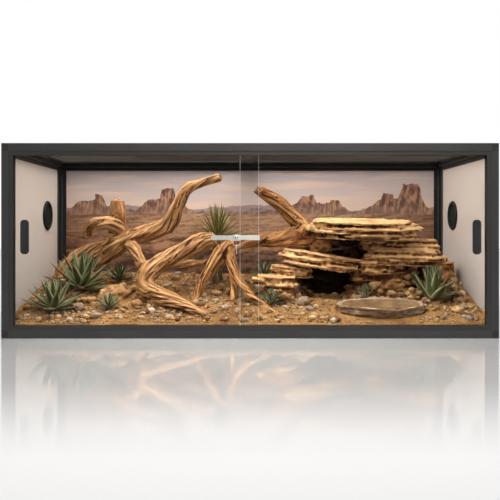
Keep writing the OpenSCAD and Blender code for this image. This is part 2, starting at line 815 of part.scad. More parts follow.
module left_base_rock(grow = 0) {
  placed([106, -24, 96], [0, 0, 10]) strata([146, 120, 116], 4, 97, grow, 8, 0.1);
}

module right_base_rock(grow = 0) {
  placed([486, 46, 118], [0, 0, 0]) strata([244, 176, 130], 4, 103, grow, 9, 0.08);
  placed([662, 46, 140], [0, 0, 0]) strata([156, 168, 150], 4, 109, grow, 9, 0.1);
}

module rear_rock(grow = 0) {
  placed([296, 130, 186], [0, 0, 0]) strata([296, 84, 222], 6, 127, grow, 8, 0.07);
}

module ledge_top_slab() { color(sandstone) top_slab_rock(); }

module ledge_column() {
  color(brown_stone) difference() {
    column_rock();
    top_slab_rock(seat);
    middle_slab_rock(seat);
  }
}

module ledge_middle_slab() {
  color(amber_stone) difference() {
    middle_slab_rock();
    right_slab_rocks(seat);
  }
}

// The upper slab lies in a seat in the lower one
module ledge_left_slabs() {
  color(sandstone) difference() {
    union() {
      upper_left_slab();
      difference() {
        lower_left_slab();
        upper_left_slab(seat);
      }
    }
    middle_slab_rock(seat);
  }
}

module ledge_right_slabs() {
  color(sandstone) difference() {
    union() {
      upper_right_slab();
      difference() {
        union() {
          broad_right_slab();
          difference() {
            lower_right_slab();
            broad_right_slab(seat);
          }
        }
        upper_right_slab(seat);
      }
    }
    top_slab_rock(seat);
  }
}

module ledge_left_base() {
  color(shaded_stone) difference() {
    left_base_rock();
    left_slab_rocks(seat);
    middle_slab_rock(seat);
  }
}

module ledge_right_base() {
  color(shaded_stone) difference() {
    right_base_rock();
    right_slab_rocks(seat);
    middle_slab_rock(seat);
  }
}

module ledge_rear_rock() {
  color(shaded_stone) difference() {
    rear_rock();
    middle_slab_rock(seat);
    right_base_rock(seat);
    right_slab_rocks(seat);
    left_base_rock(seat);
    left_slab_rocks(seat);
  }
}

// Loose stones

// Stone resting in the sand at x, y: its size, turn and the share of it that is buried
module stone(x, y, size, turn, grow = 0, sides = 7, bury = 0.35) {
  px = room_x(x);
  py = room_y(y);
  translate([px, py, sand_z(px, py) + size[2] * (0.5 - bury)]) rotate([0, 0, turn])
    scale([size[0] / 2 + grow, size[1] / 2 + grow, size[2] / 2 + grow])
      rotate([turn / 3, 12, 0]) hull() sphere(1, $fn = sides);
}

boulder_list = [
  [-468, -58, [122, 84, 74], 12], [-456, 40, [56, 44, 44], 50], [-376, -140, [50, 40, 42], 15],
  [-491, -238, [54, 38, 38], 5], [-553, -184, [46, 40, 46], 70], [-148, 8, [56, 46, 52], 20],
  [-104, 38, [54, 44, 50], 100], [180, -118, [62, 46, 50], 30], [668, -196, [54, 42, 36], 12],
  [708, -100, [64, 56, 64], 40]];

module boulder_set(grow = 0) {
  for (b = boulder_list) stone(b[0], b[1], b[2], b[3], grow);
}

pebble_list = [
  [-416, -240, 34], [-115, -90, 36], [-82, -156, 38], [-40, -178, 32], [118, -150, 28],
  [682, -240, 34], [610, -244, 28], [-524, -226, 26], [-450, -206, 26], [-342, -206, 24],
  [-250, -240, 24], [150, -214, 24], [-8, -130, 24], [-214, -96, 26]];

module pebble_set(grow = 0) {
  for (i = [0:len(pebble_list) - 1]) {
    p = pebble_list[i];
    stone(p[0], p[1], [p[2], p[2] * 0.78, p[2] * 0.62], 37 * i, grow, 6, 0.4);
  }
}

module boulders() {
  color(tan_stone) difference() {
    boulder_set();
    right_base_rock(seat);
    right_wood(seat);
  }
}

module pebbles() {
  color(grey_stone) difference() {
    pebble_set();
    centre_wood(seat);
    right_wood(seat);
  }
}

// Water dish

dish_x = 427;
dish_y = -170;
dish_rx = 152;
dish_ry = 92;
dish_base_z = 52;
dish_rim_z = 96;
dish_rise = 10;
dish_sides = 20;

// Ring of the dish's uneven wall: outer radii, height, roughness. The wall is higher by dish_rise
// at the rear than at the side, and lower by as much in front.
function dish_ring(inset, z, rough, seed) =
  let (wobble = rands(-rough, rough, dish_sides, seed))
  let (rise = dish_rise * max(0, z - 68) / (dish_rim_z - 68))
  [for (k = [0:dish_sides - 1])
    let (a = 360 * k / dish_sides)
    [room_x(dish_x) + (dish_rx - inset) * (1 + wobble[k]) * cos(a),
     room_y(dish_y) + (dish_ry - inset) * (1 + wobble[k]) * sin(a),
     z + room_dz + rise * sin(a) + 90 * wobble[k] * (rough > 0.03 ? 1 : 0)]];

module ring_loft(rings) {
  n = len(rings[0]);
  last = len(rings) - 1;
  polyhedron([for (r = rings) each r], concat(
    [for (i = [0:last - 1]) for (k = [0:n - 1])
      let (m = (k + 1) % n)
      each [[i * n + k, (i + 1) * n + k, (i + 1) * n + m], [i * n + k, (i + 1) * n + m, i * n + m]]],
    [[for (k = [0:n - 1]) k]],
    [[for (k = [0:n - 1]) last * n + n - 1 - k]]));
}

module water_dish() {
  floor_z = 68;
  color(dish_stone) ring_loft([
    dish_ring(22, dish_base_z, 0.02, 5),
    dish_ring(9, dish_base_z + 12, 0.03, 5),
    dish_ring(5, dish_rim_z - 14, 0.02, 9),
    dish_ring(0, dish_rim_z - 4, 0.03, 9),
    dish_ring(6, dish_rim_z, 0.045, 9),
    dish_ring(17, dish_rim_z, 0.045, 9),
    dish_ring(26, dish_rim_z - 10, 0.03, 9),
    dish_ring(40, floor_z, 0.02, 5)]);
}

// Hollow in the sand that the dish drops into
module dish_pocket() {
  margin = 2;
  ring_loft([
    dish_ring(22 - seat, dish_base_z - seat, 0.02, 5),
    dish_ring(9 - margin, dish_base_z + 12, 0.02, 5),
    dish_ring(-3 - margin, dish_rim_z - 14, 0.001, 9),
    dish_ring(-5 - margin, dish_rim_z + 60, 0.001, 9)]);
}

// Plants

// Keeled blade: rises at lift degrees, then bends up by curl; one bend, or two on a large plant
module leaf(len, width, lift, curl, bends) {
  keel = width * 0.32;
  runs = bends > 1 ? [0, 0.3, 0.35, 0.35] : [0, 0.45, 0.55];
  widths = bends > 1 ? [0.6, 1, 0.62] : [0.7, 1];
  spine = [for (i = 0, p = [0, 0, 0]; i <= bends + 1; i = i + 1,
      p = p + (i > bends + 1 ? 0 : runs[i]) * len
        * [cos(lift + curl * (i - 1) / bends), 0, sin(lift + curl * (i - 1) / bends)]) p];
  rims = [for (i = [0:bends])
    let (a = lift + curl * i / bends)
    let (n = [-sin(a), 0, cos(a)])
    let (w = width * widths[i] / 2)
    each [spine[i] + [0, -w, 0] + 0.2 * keel * n, spine[i] - keel * widths[i] * n,
      spine[i] + [0, w, 0] + 0.2 * keel * n]];
  n = 3 * bends;
  polyhedron(concat(rims, [spine[bends + 1]]), concat(
    [[0, 1, 2]],
    [for (i = [0:bends - 1]) for (k = [0:2])
      let (m = (k + 1) % 3)
      each [[3 * i + k, 3 * i + 3 + k, 3 * i + 3 + m], [3 * i + k, 3 * i + 3 + m, 3 * i + m]]],
    [for (k = [0:2]) [n + (k + 1) % 3, n + k, n + 3]]));
}

// Straight young blade at the heart of a rosette
module heart_leaf(len, width, lift) {
  rotate([0, -lift, 0]) hull() {
    rotate([0, 90, 0]) cylinder(h = 0.3 * len, r = width * 0.4, $fn = 3);
    translate([len - 0.5, 0, 0]) rotate([0, 90, 0]) cylinder(h = 0.5, r = 0.4, $fn = 3);
  }
}

// Rosette in whorls [count, lift, length share] and a heart of three young blades.
// Blades that point towards a side of the list raised, [direction, lift, narrowness], are raised
// by its lift, clear of the slope, rock or dish there.
module rosette(x, y, reach, width, whorls, seed, raised, stem_h = 0, bends = 1) {
  px = room_x(x);
  py = room_y(y);
  root = sand_z(px, py) + stem_h;
  for (w = [0:len(whorls) - 1]) {
    count = whorls[w][0];
    jitter = rands(-1, 1, 3 * count, seed + 10 * w);
    for (k = [0:count - 1]) {
      turn = 360 * (k + 0.5 * (w % 2)) / count + 9 * jitter[k];
      raise = max([for (side = raised) side[1] * pow(max(0, cos(turn - side[0])), side[2])])
        * cos(whorls[w][1]);
      translate([px, py, root + 7 + 4 * w]) rotate([0, 0, turn])
        translate([reach * (0.1 - 0.03 * w), 0, 0])
          leaf(reach * (whorls[w][2] - 0.06 + 0.08 * jitter[2 * count + k]), width,
            whorls[w][1] + 4 * jitter[count + k] + raise, 12 - 3 * w, bends);
    }
  }
  for (k = [0:2]) translate([px, py, root + 14]) rotate([0, 0, 120 * k + 30])
    heart_leaf(reach * 0.9, width * 0.7, 74 + 4 * (k % 2));
}

// Root plug of a plant, sunk in the sand
module root_plug(x, y, r, grow = 0) {
  px = room_x(x);
  py = room_y(y);
  translate([px, py, sand_z(px, py) - 14 - grow]) cylinder(h = 32 + 2 * grow, r = r + grow, $fn = 8);
}

agave_list = [[-593, 14, 112, 28, [[90, 28, 1]]], [-626, -176, 92, 24, [[90, 14, 1]]],
  [616, -84, 98, 26, [[90, 62, 1], [228, 52, 3]]]];
small_list = [[-463, -164, 50, 11, [[90, 14, 1]]], [-491, 176, 62, 12, [[90, 14, 1]]],
  [54, 226, 60, 12, [[90, 14, 1]]], [70, -118, 50, 10, [[90, 14, 1]]],
  [398, -56, 42, 10, [[90, 54, 1], [270, 54, 1]]]];

module agaves() {
  color(leaf_green) for (i = [0:len(agave_list) - 1]) {
    a = agave_list[i];
    rosette(a[0], a[1], a[2], a[3], [[8, 16, 0.96], [5, 36, 1.03], [3, 58, 1.08]], 20 + i, a[4], 0, 2);
    root_plug(a[0], a[1], 13);
  }
}

module small_succulents() {
  color(leaf_green) for (i = [0:len(small_list) - 1]) {
    s = small_list[i];
    rosette(s[0], s[1], s[2], s[3], [[5, 22, 0.95], [3, 48, 1.1]], 60 + i, s[4]);
    root_plug(s[0], s[1], 7);
  }
}

yucca_x = -122;
yucca_y = 125;
yucca_stem_h = 146;

module yucca() {
  color(leaf_olive) {
    rosette(yucca_x, yucca_y, 108, 10, [[8, 4, 0.8], [7, 30, 0.98], [5, 54, 1.26]], 90, [[90, 4, 1]],
      yucca_stem_h - 10);
    yucca_stem();
  }
}

module yucca_stem(grow = 0) {
  px = room_x(yucca_x);
  py = room_y(yucca_y);
  z = sand_z(px, py) - 14 - grow;
  translate([px, py, z]) cylinder(h = yucca_stem_h + 30 + grow, r1 = 16 + grow, r2 = 11 + grow, $fn = 9);
}

// Sand

module sand_surface() {
  cols = 24;
  rows = 10;
  x0 = -wall_in + panel_slack;
  y0 = -rail_y + panel_slack;
  x1 = -x0;
  y1 = rear_in - panel_slack;
  top = [for (i = [0:cols]) for (j = [0:rows])
    let (x = x0 + (x1 - x0) * i / cols)
    let (y = y0 + (y1 - y0) * j / rows)
    [x, y, sand_z(x, y)]];
  base = [[x0, y0, sand_shelf], [x1, y0, sand_shelf], [x1, y1, sand_shelf], [x0, y1, sand_shelf]];
  n = len(top);
  r = rows + 1;
  polyhedron(concat(top, base), concat(
    [for (i = [0:cols - 1]) for (j = [0:rows - 1])
      each [
        [i * r + j, i * r + j + 1, (i + 1) * r + j + 1],
        [i * r + j, (i + 1) * r + j + 1, (i + 1) * r + j]]],
    [concat([n], [for (i = [0:cols]) i * r], [n + 1])],
    [concat([n + 2], [for (i = [0:cols]) (cols - i) * r + rows], [n + 3])],
    [concat([n + 3], [for (j = [0:rows]) rows - j], [n])],
    [concat([n + 1], [for (j = [0:rows]) cols * r + j], [n + 2])],
    [[n, n + 1, n + 2, n + 3]]));
}

// The bed inside the bottom rails, and between the lips above them
module sand_foot() {
  x = rail_x - panel_slack;
  y = rail_y - panel_slack;
  lip_in_x = half_w - brace_t - panel_slack;
  lip_in_y = half_d - brace_t - panel_slack;
  low = rail_h + panel_slack;
  translate([-x, -y, sand_base]) cube([2 * x, 2 * y, sand_shelf - sand_base + 0.01]);
  translate([-lip_in_x, -y, low]) cube([2 * lip_in_x, y + lip_in_y, sand_shelf - low + 0.01]);
}

// Room for the posts and their lips at the four corners of the bed
module post_clearance() {
  tall = 3 * sand_rise;
  lip_in_x = half_w - brace_t - panel_slack;
  lip_in_y = half_d - brace_t - panel_slack;
  lip_end = rail_y - lip_len - panel_slack;
  for (s = [0, 1]) mirror([s, 0, 0]) {
    translate([rail_x - panel_slack, rail_y - panel_slack, 0]) cube([post_w + 1, tube_d + 1, tall]);
    translate([rail_x - lip_len - panel_slack, lip_in_y, 0]) cube([lip_len + 1, brace_t + 1, tall]);
    for (y = [-rail_y - 1, lip_end]) translate([lip_in_x, y, sand_shelf - 0.01])
      cube([brace_t + 1, rail_y - lip_end + 1, tall]);
  }
}

module sand_bed() {
  color(dry_sand) difference() {
    union() {
      sand_surface();
      sand_foot();
    }
    post_clearance();
    left_wood(seat);
    centre_wood(seat);
    right_wood(seat);
    left_base_rock(seat);
    right_base_rock(seat);
    rear_rock(seat);
    boulder_set(seat);
    pebble_set(seat);
    dish_pocket();
    for (a = agave_list) root_plug(a[0], a[1], 13, seat);
    for (s = small_list) root_plug(s[0], s[1], 7, seat);
    yucca_stem(seat);
  }
}

front_top_rail();
front_bottom_rail();
rear_top_rail();
rear_bottom_rail();
left_top_rail();
left_bottom_rail();
right_top_rail();
right_bottom_rail();
front_left_post();
front_right_post();
rear_left_post();
rear_right_post();
corner_connectors();
top_centre_brace();
floor_centre_brace();
floor_panel();
rear_panel();
left_panel();
right_panel();
rear_print();
left_print();
right_print();
left_screen_frame();
right_screen_frame();
screen_nets();
upper_door_track();
lower_door_track();
left_door_jamb();
right_door_jamb();
left_glass();
right_glass();
left_pull();
right_pull();
lock_bar();
lock_body();
lock_plug();
lock_key();
key_ring();
spare_key();
left_vent();
right_vent();
vent_covers();
sand_bed();
left_driftwood();
centre_driftwood();
right_driftwood();
ledge_top_slab();
ledge_middle_slab();
ledge_left_slabs();
ledge_right_slabs();
ledge_column();
ledge_left_base();
ledge_right_base();
ledge_rear_rock();
boulders();
pebbles();
water_dish();
agaves();
yucca();
small_succulents();
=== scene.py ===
import json
import math

import bpy
import numpy as np
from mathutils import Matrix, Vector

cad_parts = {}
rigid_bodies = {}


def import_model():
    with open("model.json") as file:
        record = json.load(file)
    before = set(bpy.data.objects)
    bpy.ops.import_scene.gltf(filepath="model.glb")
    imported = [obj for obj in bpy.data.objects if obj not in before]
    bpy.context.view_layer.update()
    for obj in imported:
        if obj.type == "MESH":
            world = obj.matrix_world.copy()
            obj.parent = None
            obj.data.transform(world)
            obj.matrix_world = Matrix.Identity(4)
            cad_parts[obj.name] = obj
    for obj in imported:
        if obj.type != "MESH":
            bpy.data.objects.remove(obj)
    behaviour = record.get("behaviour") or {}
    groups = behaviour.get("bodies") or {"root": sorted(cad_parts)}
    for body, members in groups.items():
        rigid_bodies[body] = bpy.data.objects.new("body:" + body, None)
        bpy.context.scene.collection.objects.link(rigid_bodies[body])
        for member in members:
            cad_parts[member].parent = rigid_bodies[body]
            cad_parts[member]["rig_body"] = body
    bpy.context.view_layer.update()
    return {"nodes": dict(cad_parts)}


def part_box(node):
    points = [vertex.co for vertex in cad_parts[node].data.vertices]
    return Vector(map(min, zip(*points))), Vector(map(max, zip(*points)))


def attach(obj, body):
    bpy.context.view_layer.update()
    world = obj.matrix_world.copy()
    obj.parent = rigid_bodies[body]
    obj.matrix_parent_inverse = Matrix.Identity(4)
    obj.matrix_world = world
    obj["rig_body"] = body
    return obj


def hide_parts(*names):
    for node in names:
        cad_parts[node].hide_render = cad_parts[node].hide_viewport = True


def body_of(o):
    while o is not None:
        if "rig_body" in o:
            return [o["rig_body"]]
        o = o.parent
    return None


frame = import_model()
solids = frame["nodes"]

# Camera: level with the lock, in front of the middle of the doors, as in the photograph.
# Its place follows from the frame's outline, the horizon's row and the depth of the side walls.
photo_size = 500
focal_px = 669.6
middle_column = 250.1
horizon_row = 223.4
camera_gap = 2.05
camera_height = 0.352
front_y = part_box("front_bottom_rail")[0].y

camera_data = bpy.data.cameras.new("camera")
camera_data.sensor_width = 36
camera_data.lens = focal_px / photo_size * camera_data.sensor_width
camera_data.shift_x = (photo_size / 2 - middle_column) / photo_size
camera_data.shift_y = (horizon_row - photo_size / 2) / photo_size
camera = bpy.data.objects.new("camera", camera_data)
camera.location = (0, front_y - camera_gap, camera_height)
camera.rotation_euler = (math.pi / 2, 0, 0)
bpy.context.scene.collection.objects.link(camera)
bpy.context.scene.camera = camera
bpy.context.scene.view_settings.view_transform = "Standard"


# Studio: a glossy white floor that fades to white towards the camera, under a plain white sky.
# A black card round the camera keeps the panes clear. Lamps are soft boxes, one high on the left,
# one low on the right and one over the screen top.
def node(tree, kind, sockets=None, **settings):
    """Adds a shader node; each socket gets a value, or a link from another node's socket."""
    made = tree.nodes.new(kind)
    for key, value in settings.items():
        setattr(made, key, value)
    for key, value in (sockets or {}).items():
        if isinstance(value, bpy.types.NodeSocket):
            tree.links.new(value, made.inputs[key])
        else:
            made.inputs[key].default_value = value
    return made


def maths(tree, operation, a, b=0.5, clamp=False):
    """Sum, product or comparison of two sockets or numbers."""
    return node(tree, "ShaderNodeMath", {0: a, 1: b}, operation=operation, use_clamp=clamp).outputs[0]


def blank(name):
    """A new material with only its output node: gives the material, its tree and the output."""
    made = bpy.data.materials.new(name)
    made.use_nodes = True
    made.node_tree.nodes.clear()
    return made, made.node_tree, made.node_tree.nodes.new("ShaderNodeOutputMaterial")


def seen(tree):
    """1 for the camera's own rays and for what mirrors and glass show, 0 for light on surfaces."""
    path = node(tree, "ShaderNodeLightPath").outputs
    either = maths(tree, "MAXIMUM", path["Is Camera Ray"], path["Is Glossy Ray"])
    return maths(tree, "MAXIMUM", either, path["Is Transmission Ray"])


def only(*objects):
    """Selects these objects and nothing else; the first is the active one."""
    bpy.ops.object.select_all(action="DESELECT")
    for o in objects:
        o.select_set(True)
    bpy.context.view_layer.objects.active = objects[0]


sky_level = 0.15
card_spread = 0.55
card_level = 0.02
world = bpy.data.worlds.new("studio")
bpy.context.scene.world = world
world.use_nodes = True
tree = world.node_tree
tree.nodes.clear()
strength = maths(tree, "MAXIMUM", seen(tree), sky_level)
way = node(tree, "ShaderNodeTexCoord").outputs["Generated"]
to_camera = maths(tree, "MULTIPLY", node(tree, "ShaderNodeSeparateXYZ", {0: way}).outputs["Y"], -1)
card = node(tree, "ShaderNodeMapRange", {
    "Value": to_camera, "From Min": card_spread - 0.2, "From Max": card_spread,
    "To Min": 1.0, "To Max": card_level}).outputs[0]
mirrored = node(tree, "ShaderNodeLightPath").outputs["Is Glossy Ray"]
dimmed = node(tree, "ShaderNodeMix", {0: mirrored, 2: 1.0, 3: card}).outputs[0]
sky = node(tree, "ShaderNodeBackground", {
    "Color": (1, 1, 1, 1), "Strength": maths(tree, "MULTIPLY", strength, dimmed)})
tree.links.new(sky.outputs[0], node(tree, "ShaderNodeOutputWorld").inputs["Surface"])

only(camera)
bpy.ops.mesh.primitive_plane_add(size=14, location=(0, 0, 0))
floor = bpy.context.object
floor.name = "studio_floor"
floor_finish, tree, output = blank("glossy_floor")
floor_white = (0.415, 0.423, 0.44)
glow_near = 0.08
glow_far = 0.5
mirror_share = 0.5
mirror_end = 1.1
mirror_full = 0.5
place = node(tree, "ShaderNodeTexCoord").outputs["Object"]
parts = node(tree, "ShaderNodeSeparateXYZ", {0: place}).outputs
depth = parts["Y"]
fade = node(tree, "ShaderNodeMapRange", {
    "Value": depth, "From Min": front_y - mirror_end, "From Max": front_y - mirror_full,
    "To Min": 0.0, "To Max": mirror_share}, interpolation_type="SMOOTHSTEP").outputs[0]
off_middle = maths(tree, "ABSOLUTE", maths(tree, "SUBTRACT", depth, front_y / 2))
off_centre = maths(tree, "ABSOLUTE", parts["X"])
outside = maths(tree, "MAXIMUM", maths(tree, "SUBTRACT", off_middle, 0.2), maths(tree, "SUBTRACT", off_centre, 0.8))
glow_level = node(tree, "ShaderNodeMapRange", {
    "Value": outside, "From Min": 0.1, "From Max": 1.0, "To Min": glow_near, "To Max": glow_far}).outputs[0]
paths = node(tree, "ShaderNodeLightPath").outputs
unmirrored = maths(tree, "SUBTRACT", 1.0, paths["Is Glossy Ray"])
white = node(tree, "ShaderNodeCombineColor", {
    channel: maths(tree, "MULTIPLY", unmirrored, floor_white[channel]) for channel in (0, 1, 2)}).outputs[0]
plain = node(tree, "ShaderNodeBsdfDiffuse", {"Color": white})
glow = node(tree, "ShaderNodeEmission", {"Strength": maths(tree, "MULTIPLY", paths["Is Camera Ray"], glow_level)})
lit = node(tree, "ShaderNodeAddShader", {0: plain.outputs[0], 1: glow.outputs[0]})
gloss = node(tree, "ShaderNodeBsdfGlossy", {"Color": (1, 1, 1, 1), "Roughness": 0.06})
both = node(tree, "ShaderNodeMixShader", {0: fade, 1: lit.outputs[0], 2: gloss.outputs[0]})
tree.links.new(both.outputs[0], output.inputs["Surface"])
floor.data.materials.append(floor_finish)

for name, where, aim, width, depth_m, watts, tint in [
        ("soft_box_left", (-1.1, -1.9, 2.3), (0, 0, 0.2), 1.1, 1.0, 27, (1, 0.96, 0.9)),
        ("soft_box_right", (2.0, -2.2, 1.3), (0.2, 0, 0.25), 1.2, 1.2, 9, (1, 0.97, 0.93)),
        ("soft_box_top", (-0.15, -0.12, 1.15), (0, 0.05, 0.2), 1.4, 0.5, 41, (1, 0.95, 0.87))]:
    lamp = bpy.data.lights.new(name, "AREA")
    lamp.shape = "RECTANGLE"
    lamp.size = width
    lamp.size_y = depth_m
    lamp.energy = watts
    lamp.color = tint
    holder = bpy.data.objects.new(name, lamp)
    holder.location = where
    towards = Vector(aim) - Vector(where)
    holder.rotation_euler = towards.to_track_quat("-Z", "Y").to_euler()
    bpy.context.scene.collection.objects.link(holder)


# Frame: aluminium extrusions in dark grey powder coat, pushed onto black moulded corner pieces.
# The coat has a fine orange-peel grain and is a little uneven from one bar to the next.
def object_place(tree):
    return node(tree, "ShaderNodeTexCoord").outputs["Object"]


def specks(tree, scale, detail=3, rough=0.55, vector=None):
    """Even noise, 0 to 1, at scale cells a metre."""
    return node(tree, "ShaderNodeTexNoise", {
        "Vector": vector or object_place(tree), "Scale": scale, "Detail": detail,
        "Roughness": rough}).outputs["Fac"]


def ramp(tree, value, stops):
    """Colour ramp from (place, colour) stops."""
    made = node(tree, "ShaderNodeValToRGB", {"Fac": value})
    elements = made.color_ramp.elements
    while len(elements) < len(stops):
        elements.new(0.5)
    for element, (at, colour) in zip(elements, stops):
        element.position = at
        element.color = (*colour, 1)
    return made.outputs["Color"]


def bumps(tree, height, depth_m, strength=1.0):
    return node(tree, "ShaderNodeBump", {
        "Height": height, "Distance": depth_m, "Strength": strength}).outputs["Normal"]


def simple_finish(name, dark, light, roughness, grain, grain_depth, metal=0.0, coat=0.0, shine=0.5):
    """Painted, moulded or metal surface: two close tones in soft clouds, and a fine grain."""
    made, tree, output = blank(name)
    tone = ramp(tree, specks(tree, 6.0), [(0.35, dark), (0.65, light)])
    surface = node(tree, "ShaderNodeBsdfPrincipled", {
        "Base Color": tone, "Roughness": roughness, "Metallic": metal, "Coat Weight": coat,
        "Specular IOR Level": shine,
        "Normal": bumps(tree, specks(tree, grain, 2), grain_depth)})
    tree.links.new(surface.outputs[0], output.inputs["Surface"])
    return made


def dress(finish, *names):
    """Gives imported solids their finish."""
    for name in names:
        solids[name].data.materials.clear()
        solids[name].data.materials.append(finish)


powder_coat = simple_finish("powder_coat", (0.043, 0.044, 0.046), (0.052, 0.053, 0.055), 0.5, 900, 0.0002)
corner_nylon = simple_finish("corner_nylon", (0.026, 0.026, 0.027), (0.032, 0.032, 0.033), 0.6, 700, 0.0002)
dress(powder_coat, "front_top_rail", "front_bottom_rail", "rear_bottom_rail", "left_top_rail",
      "left_bottom_rail", "right_top_rail", "right_bottom_rail", "front_left_post", "front_right_post",
      "top_centre_brace", "floor_centre_brace")
dress(corner_nylon, "corner_connectors")


def two_tone(name, front_tone, other_tone):
    """Extrusion with one tone on the faces towards the doors' side and another on the rest."""
    made, tree, output = blank(name)
    normal = node(tree, "ShaderNodeTexCoord").outputs["Normal"]
    outward = node(tree, "ShaderNodeSeparateXYZ", {0: normal}).outputs["Y"]
    front_face = maths(tree, "LESS_THAN", outward, -0.5)
    tone = node(tree, "ShaderNodeMix", {0: front_face, 6: other_tone, 7: front_tone}, data_type="RGBA").outputs[2]
    surface = node(tree, "ShaderNodeBsdfPrincipled", {
        "Base Color": tone, "Roughness": 0.5, "Specular IOR Level": 0.3,
        "Normal": bumps(tree, specks(tree, 1100, 2), 0.0001)})
    tree.links.new(surface.outputs[0], output.inputs["Surface"])
    return made


# Rear posts and rail: near black on the side seen through the doors, painted shade of the enclosure's inside, and grey
# on the rest.
dress(two_tone("rear_coat_painted_shade", (0.012, 0.012, 0.012, 1), (0.047, 0.048, 0.05, 1)),
      "rear_left_post", "rear_right_post", "rear_top_rail")

# Tracks and jambs: extruded strips round the opening, grey on their face and black on their other
# sides, where the panes run: painted shade for the dark gap round the opening.
dress(two_tone("track_coat_painted_shade", (0.049, 0.048, 0.046, 1), (0.008, 0.008, 0.008, 1)),
      "upper_door_track", "lower_door_track", "left_door_jamb", "right_door_jamb")

# Panels: foamed board slid into the rails' channels, white outside with a faint pressed grain.
# The floor board is the same sheet, hidden under the sand.
foam_board = simple_finish("foam_board", (0.66, 0.65, 0.63), (0.72, 0.71, 0.69), 0.62, 420, 0.0002)
dress(foam_board, "rear_panel", "left_panel", "right_panel", "floor_panel")

# Side prints: matt sheets on the side panels with a pale, clouded dusk and no motif.
# They warm from lilac grey at the foot to a pinkish beige under the screens.
wall_sheet, tree, output = blank("wall_sheet")
place = object_place(tree)
height = node(tree, "ShaderNodeSeparateXYZ", {0: place}).outputs["Z"]
stretched = node(tree, "ShaderNodeMapping", {"Vector": place, "Scale": (3, 1.6, 4.5)}).outputs[0]
drift = maths(tree, "MULTIPLY", maths(tree, "SUBTRACT", specks(tree, 1.0, 4, 0.5, stretched), 0.5), 0.35)
rise = node(tree, "ShaderNodeMapRange", {"Value": height, "From Min": 0.05, "From Max": 0.58}).outputs[0]
tone = ramp(tree, maths(tree, "ADD", rise, drift), [
    (0.0, (0.47, 0.43, 0.41)), (0.35, (0.56, 0.51, 0.485)), (0.7, (0.60, 0.54, 0.505)), (1.0, (0.60, 0.53, 0.50))])
surface = node(tree, "ShaderNodeBsdfPrincipled", {
    "Base Color": tone, "Roughness": 0.6, "Normal": bumps(tree, specks(tree, 600, 2), 0.0001)})
tree.links.new(surface.outputs[0], output.inputs["Surface"])
dress(wall_sheet, "left_print", "right_print")

# Rear print: a matt desert panorama of plain shapes. From far to near: hazy sky with long clouds,
# faint ranges, weathered buttes on their scree, an ochre plain with scrub, and low swells of rock.
panorama, tree, output = blank("panorama")
place = object_place(tree)
parts = node(tree, "ShaderNodeSeparateXYZ", {0: place}).outputs
across = parts["X"]
height = parts["Z"]


def at_scale(scale, detail=4, rough=0.55, shift=(0, 0)):
    """Noise on the print, with its own scale across and up."""
    shaped = node(tree, "ShaderNodeMapping", {
        "Vector": place, "Location": (shift[0], 0, shift[1]), "Scale": (scale[0], 1, scale[1])}).outputs[0]
    return specks(tree, 1.0, detail, rough, shaped)


def skyline(base, low, wave, small, shift=0):
    """Height of a ridge along the print, from slow and quick noise across it."""
    slow = maths(tree, "MULTIPLY", at_scale((wave, 0.0), 2, 0.5, (shift, 0)), low)
    quick = maths(tree, "MULTIPLY", at_scale((wave * 7, 0.0), 4, 0.6, (shift, 0)), small)
    return maths(tree, "ADD", maths(tree, "ADD", slow, quick), base)


def below(line, soft=0.0012):
    """1 where the print lies below a ridge line."""
    gap = maths(tree, "SUBTRACT", line, height)
    return node(tree, "ShaderNodeMapRange", {"Value": gap, "From Min": -soft, "From Max": soft}).outputs[0]


def laid_over(under, mask, over):
    return node(tree, "ShaderNodeMix", {0: mask, 6: under, 7: over}, data_type="RGBA").outputs[2]


def lit_rock(scale, shade, middle, light, gain=2.6, detail=6):
    """Rough ground lit from the upper left: noise less the same noise a little way off."""
    slope = maths(tree, "SUBTRACT", at_scale(scale, detail, 0.62), at_scale(scale, detail, 0.62, (0.2, -0.26)))
    return ramp(tree, maths(tree, "ADD", maths(tree, "MULTIPLY", slope, gain), 0.5), [
        (0.22, shade), (0.5, middle), (0.8, light)])


horizon = 0.392
rise = node(tree, "ShaderNodeMapRange", {"Value": height, "From Min": horizon, "From Max": 0.57}).outputs[0]
picture = ramp(tree, rise, [
    (0.0, (0.72, 0.55, 0.48)), (0.4, (0.56, 0.47, 0.46)), (1.0, (0.38, 0.34, 0.37))])
clouds = ramp(tree, at_scale((3.2, 34), 5), [(0.45, (0, 0, 0)), (0.66, (1, 1, 1))])
picture = laid_over(picture, maths(tree, "MULTIPLY", clouds, 0.7), (0.76, 0.55, 0.43, 1))

far_tone = ramp(tree, at_scale((26, 60)), [(0.3, (0.30, 0.205, 0.21)), (0.7, (0.38, 0.27, 0.265))])
picture = laid_over(picture, below(skyline(horizon - 0.028, 0.085, 3.4, 0.022, 5.2)), far_tone)
near_tone = lit_rock((22, 34), (0.15, 0.09, 0.095), (0.24, 0.15, 0.14), (0.33, 0.21, 0.18))
picture = laid_over(picture, below(skyline(horizon - 0.045, 0.085, 6.5, 0.03, 1.3)), near_tone)

